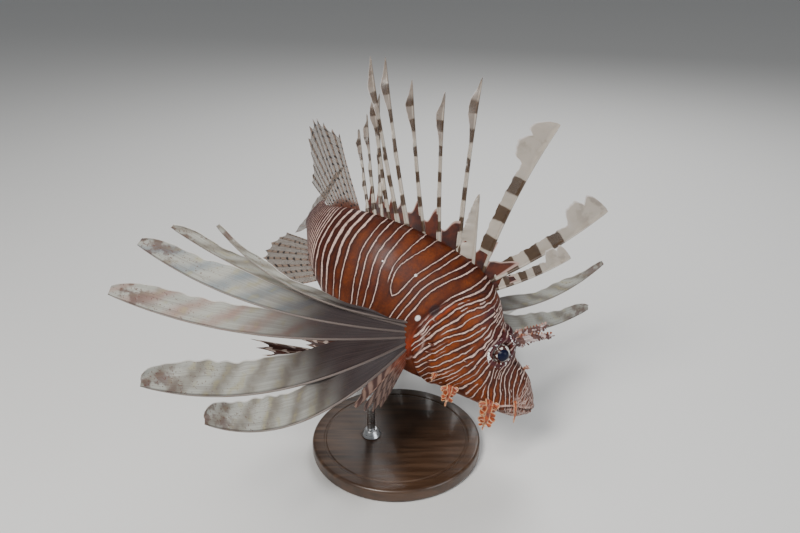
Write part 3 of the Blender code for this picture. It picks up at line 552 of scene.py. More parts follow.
# %% Skin
SKIN_ROWS = 290
SKIN_AROUND = 216
HEAD_SHARE = 0.56
CAP_SHARE = 0.025
CLOSE_SHARE = 0.975


def station_of(x):
    """Station along the fish for a share of the skin's rows, closer together on the head."""
    head = SNOUT_S + (0.43 - SNOUT_S) * (x - CAP_SHARE) / (HEAD_SHARE - CAP_SHARE)
    rear = 0.43 + (TAIL_END_S - 0.43) * (x - HEAD_SHARE) / (CLOSE_SHARE - HEAD_SHARE)
    return np.clip(np.where(x < HEAD_SHARE, head, rear), SNOUT_S, TAIL_END_S)


def select_faces(obj, chosen):
    """Leaves only the faces chosen by their place selected, with the object in edit mode after."""
    for layer in (obj.data.vertices, obj.data.edges):
        layer.foreach_set("select", np.zeros(len(layer), bool))
    obj.data.polygons.foreach_set("select", chosen)


def wrap_skin(u, v):
    """World points for the flat grid's shares along and round, with their s and angle."""
    s = station_of(u)
    angle = (v - 0.5) * 2 * math.pi
    point, y, z = skin_point(s, angle)
    back, belly, _ = profile(s)
    centre = place(s, np.zeros_like(s), (back + belly) / 2)
    cap = np.clip(u / CAP_SHARE, 0, 1)
    ring = np.sin(cap * math.pi / 2)
    ring = np.where(u > CLOSE_SHARE, np.sqrt(np.clip((1 - u) / (1 - CLOSE_SHARE), 0, 1)), ring)
    _, forward, _, _ = frame_at(s)
    ahead = np.where(u < CAP_SHARE, 0.0022 * np.cos(cap * math.pi / 2), 0.0)
    point = centre + (point - centre) * ring[:, None] + forward * ahead[:, None]
    return point, s, angle, y, z


def make_skin():
    obj = unit_grid("fish_skin", SKIN_ROWS, SKIN_AROUND)
    centres = np.empty(len(obj.data.polygons) * 3)
    obj.data.polygons.foreach_get("center", centres)
    u, v = centres.reshape(-1, 3)[:, 0], centres.reshape(-1, 3)[:, 1]
    _, s, _, y, z = wrap_skin(u, v)
    eye = np.hypot(s - EYE_AT[0], z - EYE_AT[2]) < EYE_HOLE * 1.45
    mouth = (np.abs(from_mouth(s, z)) < 0.017) & (s < 0.11)
    nose = np.hypot(s - NOSTRIL_AT[0] - 0.016, z - NOSTRIL_AT[1]) < 0.032
    chosen = ((eye | nose) & (np.abs(y) > 0.02)) | mouth
    deselect_all()
    obj.select_set(True)
    bpy.context.view_layer.objects.active = obj
    bpy.ops.object.mode_set(mode="EDIT")
    bpy.ops.mesh.select_all(action="DESELECT")
    bpy.ops.object.mode_set(mode="OBJECT")
    select_faces(obj, chosen)
    bpy.ops.object.mode_set(mode="EDIT")
    bpy.ops.mesh.select_mode(type="FACE")
    bpy.ops.mesh.subdivide(number_cuts=1)
    bpy.ops.object.mode_set(mode="OBJECT")
    u, v = points_of(obj)[:, 0], points_of(obj)[:, 1]
    point, s, angle, y, z = wrap_skin(u, v)
    set_points(obj, point)
    mark_skin(obj, s, angle, y, z)
    corners = np.empty(len(obj.data.loops), int)
    obj.data.loops.foreach_get("vertex_index", corners)
    layer = obj.data.uv_layers[0]
    layer.uv.foreach_set("vector", np.stack([s[corners], angle[corners]], axis=1).ravel())
    edit(obj, weld, face_outwards)
    return obj


# %% [markdown]
# The bars follow the body, so where each line runs is worked out here, point by point, and only stored as
# numbers; the material draws the lines from them, sharp at any size. On the real fish pale lines come in
# pairs along the trunk and close together on the head, and they lean back or forward as they come down the
# side. Each row of BARS is one pair's middle, or one head line: its phase, and its station at five angles
# down the side. A whole turn of phase is one bar and one pair of lines.

# %% Where the bars run
BAR_ANGLES = (0.0, 0.6, 1.2, 1.8, 2.4)
# phase, stations at those angles, then half the gap between a pair's lines as a station
BARS = np.array(
    (
        (-12.0, -0.055, -0.055, -0.060, -0.085, -0.110, 0.0),
        (-10.75, -0.010, -0.005, -0.012, -0.045, -0.070, 0.0),
        (-9.75, 0.015, 0.022, 0.010, -0.028, -0.050, 0.0),
        (-8.75, 0.045, 0.055, 0.038, -0.003, -0.030, 0.0),
        (-7.75, 0.085, 0.092, 0.078, 0.030, 0.000, 0.0),
        (-6.75, 0.125, 0.128, 0.120, 0.066, 0.030, 0.0),
        (-5.75, 0.160, 0.158, 0.148, 0.115, 0.075, 0.0),
        (-5.25, 0.178, 0.176, 0.172, 0.136, 0.095, 0.0),
        (-4.75, 0.195, 0.195, 0.190, 0.190, 0.205, 0.0),
        (-4.25, 0.215, 0.215, 0.220, 0.220, 0.235, 0.0),
        (-3.75, 0.235, 0.235, 0.235, 0.262, 0.300, 0.0),
        (-3.25, 0.252, 0.250, 0.259, 0.302, 0.345, 0.0),
        (-2.75, 0.262, 0.262, 0.293, 0.352, 0.370, 0.0),
        (-2.25, 0.290, 0.293, 0.338, 0.372, 0.390, 0.0),
        (-1.75, 0.305, 0.311, 0.360, 0.385, 0.400, 0.0),
        (-1.25, 0.320, 0.333, 0.380, 0.400, 0.410, 0.0),
        (-0.75, 0.335, 0.350, 0.393, 0.410, 0.420, 0.0),
        (0.0, 0.381, 0.405, 0.449, 0.456, 0.450, 0.011),
        (1.0, 0.437, 0.457, 0.489, 0.496, 0.492, 0.011),
        (1.75, 0.500, 0.518, 0.545, 0.512, 0.506, 0.05),
        (2.25, 0.538, 0.546, 0.554, 0.524, 0.520, 0.05),
        (3.0, 0.591, 0.594, 0.594, 0.560, 0.534, 0.012),
        (4.0, 0.643, 0.640, 0.634, 0.601, 0.565, 0.009),
        (5.0, 0.703, 0.694, 0.689, 0.662, 0.625, 0.012),
        (6.0, 0.752, 0.740, 0.733, 0.715, 0.680, 0.012),
        (7.0, 0.804, 0.793, 0.778, 0.765, 0.745, 0.05),
        (8.0, 0.838, 0.821, 0.801, 0.788, 0.770, 0.05),
        (9.0, 0.866, 0.848, 0.827, 0.810, 0.795, 0.05),
        (10.0, 0.895, 0.877, 0.854, 0.835, 0.820, 0.05),
        (11.0, 0.922, 0.903, 0.884, 0.865, 0.850, 0.05),
        (12.0, 0.953, 0.939, 0.920, 0.900, 0.890, 0.05),
        (13.0, 1.000, 0.980, 0.970, 0.950, 0.940, 0.05),
    )
)
# station and half width of a line there, as a station
LINE_WIDTHS = ((0.0, 0.0013), (0.06, 0.0018), (0.24, 0.0018), (0.34, 0.0020), (0.45, 0.0015), (0.52, 0.0011), (0.66, 0.0013))
LINE_WIDTHS += ((0.70, 0.0036), (0.75, 0.0036), (0.80, 0.0018), (1.0, 0.0015))
# bars that end in a round tip on the side: phase where the bar starts, and the angle where it ends
BAR_ENDS = ((1.0, 1.56),)
EVEN_GAP = 0.25
RATE_STEP = 0.003


def bars_at(s, angle):
    """Phase at each point, the half gap of its pair, half a line's width as phase, and how fast phase grows."""
    below = BARS[:, 5] + 0.4 * (BARS[:, 5] - BARS[:, 4])
    stations_at = np.column_stack([(*BAR_ANGLES, math.pi), np.vstack([BARS[:, 1:6].T, below])])
    phase = np.empty_like(s)
    rate = np.empty_like(s)
    rounded = np.round(np.abs(angle), 3)
    for each in np.unique(rounded):
        here = rounded == each
        stations = smooth_rows(stations_at, np.asarray(each))
        stations = np.maximum.accumulate(stations) + np.arange(len(stations)) * 1e-4
        phase[here] = np.interp(s[here], stations, BARS[:, 0])
        ahead = np.interp(s[here] + RATE_STEP, stations, BARS[:, 0])
        rate[here] = (ahead - np.interp(s[here] - RATE_STEP, stations, BARS[:, 0])) / (2 * RATE_STEP)
    rate = np.maximum(rate, 8.0)
    in_pairs = phase > -0.4
    gap = np.interp(np.round(phase), BARS[:, 0], BARS[:, 6]) * rate
    gap = np.where(in_pairs, np.clip(gap, 0.07, EVEN_GAP), EVEN_GAP)
    widths = np.array(LINE_WIDTHS)
    half = np.interp(s, widths[:, 0], widths[:, 1]) * rate
    return phase, gap, half, rate


def waves(s, y, z, scale, seed):
    """Smooth random waves that follow the body laid out straight, different on each side."""
    return np.array([noise.noise(Vector((a * scale + seed, b * scale, c * scale))) for a, b, c in zip(s, y, z)])


def near(s, z, middle, reach):
    """1 at a place on the side, falling to nothing over a reach along and up."""
    return bump(s - middle[0], reach[0]) * bump(z - middle[1], reach[1])


def mark_skin(obj, s, angle, y, z):
    edge = s - gill_edge(angle)
    head = ease(-edge / 0.02 + 0.5)
    warp = waves(s, y, z, 24, 3.1)
    small = waves(s, y, z, 70, 7.7)
    wander = (1 + 1.3 * head) * (0.0022 * warp + 0.0013 * small)
    phase, gap, half, rate = bars_at(s + wander, angle)
    ended = np.zeros_like(s)
    for start, end_angle in BAR_ENDS:
        within = (phase > start) & (phase < start + 1)
        ended = np.where(within, ease((np.abs(angle) - end_angle + 0.12) / 0.24), ended)
    number_on(obj, "bar_ended", ended)
    number_on(obj, "extra_line", ease((0.5 / rate - 0.027) / 0.006) * head)
    number_on(obj, "more_lines", ease((0.5 / rate - 0.046) / 0.010) * head)
    number_on(obj, "bar_sine", np.sin(phase * 2 * math.pi))
    number_on(obj, "bar_cosine", np.cos(phase * 2 * math.pi))
    number_on(obj, "pair_gap", gap)
    number_on(obj, "line_half", half * (1 + 0.35 * small + 0.40 * warp))
    number_on(obj, "head", head)
    flank = ease((np.abs(angle) - 1.0) / 0.3)
    merged = (phase > 2.0) * (phase < 2.6) * ease((np.abs(angle) - 1.35) / 0.12)
    hidden = flank * ease(edge / 0.006) * ease((-0.28 - phase) / 0.06)
    number_on(obj, "line_on", (1 - hidden) * (1 - merged))
    side = ease((np.abs(angle) - 1.05) / 0.25)
    number_on(obj, "gill_rim", bump(edge + 0.006, 0.008) * side * ease((1.75 - np.abs(angle)) / 0.3))
    eye = np.hypot(s - EYE_AT[0], z - EYE_AT[2])
    purple = near(s, z, (0.275, 0.135), (0.016, 0.035)) + bump(eye - 0.036, 0.016) * ease((z - 0.03) / 0.03)
    purple = purple + 0.8 * near(s, z, (0.215, 0.108), (0.034, 0.024))
    purple = purple + 0.7 * near(s, z, (0.228, 0.050), (0.022, 0.030)) + 0.6 * near(s, z, (0.120, 0.030), (0.020, 0.016))
    number_on(obj, "purple", np.clip(purple, 0, 1))
    number_on(obj, "eye_ring", bump(eye - EYE_HOLE * 1.22, 0.0075) * (np.abs(y) > 0.02))
    height = from_mouth(s, z)
    lips = bump(np.abs(height) - 0.0105, 0.0020) * ease((0.100 - s) / 0.015)
    root = np.hypot((s - 0.398) * 0.9, (z + 0.073) * 0.55)
    arcs = 0.45 * bump(root - 0.030, 0.0020) * ease((0.402 - s) / 0.01)
    number_on(obj, "pale_line", np.clip(lips + arcs, 0, 1))
    number_on(obj, "fin_root", bump(s - 0.395, 0.020) * bump(z + 0.073, 0.055) * ease(np.abs(y) / 0.06))
    # Painted shade: the seam of the mouth, the skin in each eye socket behind the ball and the nostril holes are
    # darkened as if shade fell in them.
    mouth = bump(height, 0.0017) * ease((0.100 - s) / 0.015)
    sockets = ease((EYE_HOLE * 0.92 - eye) / 0.004) * (np.abs(y) > 0.03)
    holes = 0.0
    for shift in (0.0, 0.032):
        holes = holes + bump(np.hypot(s - NOSTRIL_AT[0] - shift, z - NOSTRIL_AT[1] - shift * 0.3), 0.0034)
    number_on(obj, "hollow_shade", np.clip(mouth + sockets + holes * (np.abs(y) > 0.02), 0, 1))


# %% [markdown]
# The skin's colours: red-brown bars that darken beside each line, thin pinkish-white lines, an orange head
# with a purple nape and brow, a purple tail, a netted pale snout, a pale throat and an orange-red rim to the
# gill cover. The bars' stored phase is turned back into a distance from the nearest line, counted in line
# widths, so one number shapes line, dark edge and bar. Scales are under a millimetre, so they are only bump.

# %% Skin material
BAR_RED = (0.085, 0.013, 0.002)
BAR_DARK = (0.024, 0.004, 0.003)
BAR_ORANGE = (0.160, 0.032, 0.003)
HEAD_ORANGE = (0.205, 0.040, 0.004)
TAIL_PURPLE = (0.065, 0.014, 0.012)
NAPE_PURPLE = (0.060, 0.010, 0.016)
LINE_PINK = (0.660, 0.480, 0.420)
CHIN_PALE = (0.560, 0.360, 0.290)
RIM_ORANGE = (0.330, 0.036, 0.007)
# painted shade for the mouth's seam, the eye sockets and the nostril holes
HOLLOW_SHADE = (0.012, 0.006, 0.006)
SPOT_WHITE = (0.85, 0.84, 0.82)
# spots on the side: station, angle, radius and colour
SPOTS = (
    (0.402, 1.36, 0.0170, (0.030, 0.012, 0.012)),
    (0.424, 1.60, 0.0085, SPOT_WHITE),
    (0.498, 1.10, 0.0048, SPOT_WHITE),
    (0.587, 1.20, 0.0028, SPOT_WHITE),
)


def line_masks(tree):
    """The lines themselves, the dark edge beside them, and how far from a line the middle of a bar is."""
    turn = sums(tree, "ARCTAN2", reading(tree, "bar_sine"), reading(tree, "bar_cosine"))
    off = sums(tree, "DIVIDE", sums(tree, "ABSOLUTE", turn), 2 * math.pi)
    off = sums(tree, "MULTIPLY", off, sums(tree, "SUBTRACT", 1.0, reading(tree, "bar_ended")))
    half = reading(tree, "line_half")
    ragged = sums(tree, "MULTIPLY_ADD", speckle(tree, 300.0, 3.0), 0.7, -0.35)
    away = sums(tree, "ABSOLUTE", sums(tree, "SUBTRACT", off, reading(tree, "pair_gap")))
    away = sums(tree, "ADD", sums(tree, "DIVIDE", away, half), ragged)
    line = sums(tree, "MULTIPLY", between(tree, away, 0.60, 1.35, 1.0, 0.0), reading(tree, "line_on"))
    middle = sums(tree, "MINIMUM", off, sums(tree, "SUBTRACT", 0.5, off))
    middle = sums(tree, "ADD", sums(tree, "DIVIDE", middle, half), ragged)
    dashes = between(tree, speckle(tree, 95.0, 1.0), 0.575, 0.61)
    dashes = sums(tree, "MULTIPLY", dashes, between(tree, reading(tree, "head"), 0.7, 1.0))
    extra = sums(tree, "MAXIMUM", reading(tree, "extra_line"), dashes)
    line = sums(tree, "MAXIMUM", line, sums(tree, "MULTIPLY", between(tree, middle, 0.45, 1.15, 1.0, 0.0), extra))
    quarter = sums(tree, "ABSOLUTE", sums(tree, "SUBTRACT", off, 0.25))
    quarter = sums(tree, "ABSOLUTE", sums(tree, "SUBTRACT", quarter, 0.125))
    quarter = sums(tree, "ADD", sums(tree, "DIVIDE", quarter, half), ragged)
    more = sums(tree, "MULTIPLY", reading(tree, "more_lines"), between(tree, speckle(tree, 110.0, 1.0), 0.40, 0.46))
    line = sums(tree, "MAXIMUM", line, sums(tree, "MULTIPLY", between(tree, quarter, 0.45, 1.1, 1.0, 0.0), more))
    line = sums(tree, "MAXIMUM", line, reading(tree, "pale_line"))
    beside = sums(tree, "MULTIPLY", between(tree, away, 1.2, 5.0, 1.0, 0.0), reading(tree, "line_on"))
    beside = sums(tree, "MAXIMUM", beside, sums(tree, "MULTIPLY", between(tree, middle, 1.0, 3.0, 1.0, 0.0), extra))
    return line, beside, between(tree, away, 2.5, 11.0)


def make_skin_material():
    mat, tree, shader = new_material("striped skin", 0.50, coat=0.04, Subsurface_Weight=0.02)
    shader.inputs["Specular IOR Level"].default_value = 0.22
    shader.inputs["Subsurface Radius"].default_value = (0.002, 0.0008, 0.0004)
    shader.inputs["Subsurface Scale"].default_value = 0.5
    line, beside, centre = line_masks(tree)
    uv = node(tree, "SeparateXYZ", {0: node(tree, "UVMap", uv_map="UVMap").outputs[0]}).outputs
    s = uv["X"]
    angle = sums(tree, "ABSOLUTE", uv["Y"])
    head = reading(tree, "head")
    mottle = speckle(tree, 75.0, 5.0, roughness=0.6)
    fine = speckle(tree, 650.0, 3.0)
    colour = mixed(tree, between(tree, mottle, 0.32, 0.68), BAR_RED, BAR_ORANGE)
    colour = mixed(tree, sums(tree, "MULTIPLY_ADD", centre, -0.45, 0.45), colour, BAR_DARK)
    colour = mixed(tree, sums(tree, "MULTIPLY", head, between(tree, mottle, 0.3, 0.62, 0.25, 0.95)), colour, HEAD_ORANGE)
    clouds = between(tree, speckle(tree, 46.0, 4.0, roughness=0.62), 0.48, 0.64)
    clouds = sums(tree, "MULTIPLY", clouds, sums(tree, "MULTIPLY_ADD", head, 0.30, 0.35))
    colour = mixed(tree, clouds, colour, BAR_DARK)
    back = sums(tree, "MULTIPLY", between(tree, angle, 0.05, 0.75, 0.6, 0.0), between(tree, s, 0.40, 0.52))
    colour = mixed(tree, back, colour, BAR_DARK)
    colour = mixed(tree, between(tree, s, 0.70, 0.82), colour, TAIL_PURPLE)
    low = between(tree, angle, 2.35, 2.9)
    chin = sums(tree, "MULTIPLY", low, between(tree, s, 0.30, 0.10))
    colour = mixed(tree, sums(tree, "MULTIPLY", chin, 0.7), colour, CHIN_PALE)
    snout = sums(tree, "MULTIPLY", between(tree, s, 0.062, 0.035), between(tree, angle, 2.9, 2.4))
    colour = mixed(tree, sums(tree, "MULTIPLY", snout, between(tree, mottle, 0.3, 0.7, 0.0, 0.16)), colour, CHIN_PALE)
    purple = sums(tree, "MULTIPLY", reading(tree, "purple"), between(tree, mottle, 0.25, 0.6, 0.5, 0.95))
    colour = mixed(tree, purple, colour, NAPE_PURPLE)
    colour = mixed(tree, sums(tree, "MULTIPLY", reading(tree, "gill_rim"), 0.85), colour, RIM_ORANGE)
    colour = mixed(tree, sums(tree, "MULTIPLY", reading(tree, "fin_root"), 0.6), colour, RIM_ORANGE)
    colour = mixed(tree, sums(tree, "MULTIPLY", beside, 0.90), colour, BAR_DARK)
    worn = between(tree, speckle(tree, 60.0, 2.0), 0.26, 0.38, 0.45, 1.0)
    net_place = node(tree, "CombineXYZ", {"X": sums(tree, "MULTIPLY", s, 235.0), "Y": sums(tree, "MULTIPLY", angle, 7.0)})
    net_cells = node(
        tree, "TexVoronoi", {"Vector": net_place.outputs[0], "Scale": 0.30}, feature="DISTANCE_TO_EDGE"
    )
    net = sums(tree, "MULTIPLY", between(tree, net_cells.outputs["Distance"], 0.03, 0.09, 0.75, 0.0), snout)
    line = sums(tree, "MAXIMUM", sums(tree, "MULTIPLY", line, sums(tree, "MULTIPLY_ADD", snout, -0.3, 1.0)), net)
    line_paint = mixed(tree, between(tree, fine, 0.35, 0.70, 0.0, 0.30), LINE_PINK, (0.36, 0.17, 0.13))
    colour = mixed(tree, sums(tree, "MULTIPLY", line, worn), colour, line_paint)
    place_on_side = node(tree, "CombineXYZ", {"X": s, "Y": sums(tree, "MULTIPLY", angle, 0.15)}).outputs[0]
    for station, spot_angle, radius, paint in SPOTS:
        spot = {0: place_on_side, 1: (station, spot_angle * 0.15, 0)}
        gone = node(tree, "VectorMath", spot, operation="DISTANCE").outputs["Value"]
        colour = mixed(tree, between(tree, gone, radius * 0.55, radius, 1.0, 0.0), colour, paint)
    by_eye = sums(tree, "MULTIPLY", reading(tree, "eye_ring"), 0.9)
    colour = mixed(tree, by_eye, colour, NAPE_PURPLE)
    flakes = between(tree, speckle(tree, 360.0, 2.0), 0.580, 0.61)
    flakes = sums(tree, "MULTIPLY", flakes, between(tree, by_eye, 0.25, 0.5))
    colour = mixed(tree, flakes, colour, SPOT_WHITE)
    # painted shade in the mouth's seam, the eye sockets and the nostril holes
    colour = mixed(tree, reading(tree, "hollow_shade"), colour, HOLLOW_SHADE)
    colour = mixed(tree, between(tree, fine, 0.3, 0.8, 0.0, 0.35), colour, (0.02, 0.006, 0.004))
    tree.links.new(colour, shader.inputs["Base Color"])
    tree.links.new(between(tree, mottle, 0.2, 0.8, 0.46, 0.66), shader.inputs["Roughness"])
    where = node(tree, "TexCoord").outputs["Object"]
    scales = node(tree, "TexVoronoi", {"Vector": where, "Scale": 1300.0}, feature="F1").outputs["Distance"]
    height = sums(tree, "MULTIPLY_ADD", scales, -0.6, sums(tree, "MULTIPLY", line, 0.5))
    height = sums(tree, "ADD", height, sums(tree, "MULTIPLY", fine, 0.35))
    relief = node(tree, "Bump", {"Strength": 0.22, "Distance": 0.0004, "Height": height})
    tree.links.new(relief.outputs[0], shader.inputs["Normal"])
    return mat


# %% Build the skin
skin_piece = make_skin()
finish_piece(skin_piece, make_skin_material(), "skin", "head", "lower_jaw", "trunk", "tail_root", smooth_degrees=70)

# %% [markdown]
# Each eye is a ball turned so that its pole looks out of the socket, because a UV sphere's own map then
# gives how far a point is from the middle of the pupil. The pupil is blue-black, and the iris round it dark
# with broken white patches. A clear coat gives the wet glint.

# %% Eyes
EYE_WHITE = (0.72, 0.70, 0.66)
EYE_BLACK = (0.005, 0.007, 0.024)
IRIS_BROWN = (0.060, 0.024, 0.020)


def eye_axis(side):
    return Vector(aim(EYE_AT[0], 0.22, 0.95, 0.20, side))


def make_eye_material():
    mat, tree, shader = new_material("eye", 0.34, coat=0.05)
    shader.inputs["Coat Roughness"].default_value = 0.03
    shader.inputs["Specular IOR Level"].default_value = 0.12
    uv = node(tree, "SeparateXYZ", {0: node(tree, "UVMap", uv_map="UVMap").outputs[0]}).outputs
    off = sums(tree, "SUBTRACT", 1.0, uv["Y"])
    patches = speckle(tree, 360.0, 1.5)
    ring = sums(tree, "MULTIPLY", between(tree, off, 0.232, 0.244), between(tree, off, 0.47, 0.50, 1.0, 0.0))
    white = sums(tree, "MULTIPLY", ring, between(tree, patches, 0.50, 0.53))
    colour = mixed(tree, between(tree, off, 0.218, 0.232), EYE_BLACK, IRIS_BROWN)
    colour = mixed(tree, white, colour, EYE_WHITE)
    # Painted shade: the ball from its rim backwards, inside the socket, is darkened so the gap round it looks shaded.
    colour = mixed(tree, between(tree, off, 0.49, 0.53), colour, (0.02, 0.01, 0.01))
    tree.links.new(colour, shader.inputs["Base Color"])
    return mat


def make_eye(name, side, material, node_name):
    deselect_all()
    bpy.ops.mesh.primitive_uv_sphere_add(segments=64, ring_count=48, radius=EYE_RADIUS * 0.985)
    eye = bpy.context.object
    eye.name = name
    co = points_of(eye)
    share = np.clip(co[:, 2] / EYE_RADIUS, -1, 1)
    co[:, 2] += 0.0005 * ease((share - 0.72) / 0.2)
    set_points(eye, co)
    turn = eye_axis(side).to_track_quat("Z", "Y").to_matrix().to_4x4()
    centre = Vector(place(EYE_AT[0], EYE_AT[1] * side, EYE_AT[2]))
    eye.matrix_world = Matrix.Translation(centre) @ turn
    bpy.ops.object.transform_apply(location=True, rotation=True, scale=True)
    finish_piece(eye, material, "eye", node_name)


eye_material = make_eye_material()
make_eye("right_eye", -1, eye_material, "eye_right")
make_eye("left_eye", 1, eye_material, "eye_left")

# %% [markdown]
# Every fin is rays with a web of skin between or behind them. A ray is a tapered tube, a web a thin sheet
# that starts at the ray's middle. The dorsal spines come first: thirteen stiff spines, each with its own
# flag of skin, and a low web between their roots.

# %% Dorsal spines and their flags
# station, length in millimetres, degrees leaned back, flag's width in millimetres, how far the middle is swept
# back as a share of the length, and the flag's shape
SPINES = (
    (0.292, 54, -27, 13, -0.03, "lobes"),
    (0.318, 90, -20, 19, -0.03, "lobes"),
    (0.352, 109, 12, 17, 0.03, "lobes"),
    (0.388, 47, 33, 13, 0.00, "sail"),
    (0.437, 116, 30, 6, 0.01, "pennant"),
    (0.500, 98, 34, 5, 0.01, "pennant"),
    (0.547, 101, 40, 5, 0.01, "pennant"),
    (0.595, 114, 44, 5, 0.01, "pennant"),
    (0.622, 112, 45, 5, 0.01, "pennant"),
    (0.650, 86, 43, 5, 0.01, "pennant"),
    (0.672, 86, 40, 5, 0.01, "pennant"),
    (0.694, 70, 42, 4, 0.01, "pennant"),
    (0.716, 60, 46, 4, 0.01, "pennant"),
)
SPINE_SPLAY = (-2.0, 3.0, -3.0)
SPINE_RADIUS = 0.00115
WEB_THICK = 0.00034
SPINE_KIND = {"lobes": 0.0, "sail": 0.5, "pennant": 1.0}


def lean(s, degrees, down=False, splay=0.0):
    """Direction of a ray that leans back from the upright, or from straight down."""
    angle = math.radians(degrees)
    return aim(s, -math.sin(angle), math.sin(math.radians(splay)), math.cos(angle) * (-1 if down else 1), 1)


def ridge_point(s, depth=0.0, down=False):
    """World point on the back's or belly's ridge, sunk by a distance."""
    point, _, _ = skin_point(s, math.pi if down else 0.0)
    return point + frame_at(s)[3] * (depth if down else -depth)


def half_round(distance, reach):
    """A half circle: 1 in the middle and nothing from the reach outwards."""
    return np.sqrt(np.clip(1 - (distance / reach) ** 2, 0, 1))


def flag_width(shape, widest, t):
    """Width of a spine's flag of skin at a share of its length."""
    if shape == "lobes":
        share = 0.45 * ease(t / 0.15) + 0.55 * np.maximum(half_round(t - 0.80, 0.09), half_round(t - 0.94, 0.07))
    elif shape == "sail":
        share = 0.10 + 0.90 * (1 - t) ** 0.8 * ease(t / 0.15)
    else:
        share = 0.26 + 0.74 * bump(t - 0.84, 0.12) * (1 - ease((t - 0.84) / 0.18))
    return widest * 0.001 * share


def make_spine(k, row):
    s, length, degrees, widest, swept, shape = row
    size = length * 0.001
    way = lean(s, degrees, splay=SPINE_SPLAY[k % len(SPINE_SPLAY)])
    root = ridge_point(s)
    forward = frame_at(s)[1]
    across = -forward + way * forward.dot(way)
    across = across / np.linalg.norm(across)
    face = np.cross(way, across)
    sweep = swept * size

    def centre(t):
        return root + way * (size * t)[:, None] + across * (sweep * (4 * t * (1 - t)))[:, None]

    t = np.linspace(-0.004 / size, 1.0, 40)
    radii = SPINE_RADIUS * (1 - 0.82 * np.clip(t, 0, 1)) + 0.00010
    own = (k * 0.37) % 1
    spine = tube(f"spine_{k}", centre(t), radii, 10, own, SPINE_KIND[shape], np.clip(t, 0, 1))

    def flag(u, v):
        ragged = 1 + 0.035 * np.sin(v * 61 + k) * u + 0.02 * np.sin(v * 143 + 2 * k) * u
        round_tip = np.sqrt(np.clip(1 - ((v - 0.3) / 0.702) ** 14, 0, 1))
        wide = (SPINE_RADIUS * 0.7 * (1 - 0.8 * v) + flag_width(shape, widest, v) * ragged) * round_tip
        ripple = 0.0009 * u * np.sin(v * 19 + k * 1.7) + 0.0004 * u * np.sin(v * 47 + k)
        return centre(v) + across * (wide * u)[:, None] + face * ripple[:, None]

    return [spine, web(f"flag_{k}", 10, 90, flag, WEB_THICK, own, SPINE_KIND[shape])], root, way


def make_dorsal_spines():
    parts, lines = [], []
    for k, row in enumerate(SPINES):
        made, root, way = make_spine(k, row)
        parts += made
        lines.append((root, way))
    for k in range(len(lines) - 1):
        (root_a, way_a), (root_b, way_b) = lines[k], lines[k + 1]

        def low_web(u, v):
            top = 0.009 + 0.013 * (1 - ease(u / 0.95)) + 0.0010 * np.sin(u * 9 + k)
            low = -0.003
            height = (low + (top - low) * v)[:, None]
            start = root_a + way_a * height
            end = root_b + way_b * height
            return start * (1 - u)[:, None] + end * u[:, None]

        parts.append(web(f"low_web_{k}", 20, 14, low_web, WEB_THICK, 0.5, 2.0))
    return join(parts, "back_spines")


# %% [markdown]
# The banded finish reads v, the share along the spine, so a spine and its flag change colour at the same
# height. The low web is painted like the back below it.

# %% Banded material
SPINE_PALE = (0.380, 0.335, 0.285)
SPINE_BROWN = (0.034, 0.015, 0.008)
SPINE_OLIVE = (0.080, 0.046, 0.020)
FLAG_PALE = (0.340, 0.305, 0.255)
FLAG_GREY = (0.170, 0.130, 0.105)


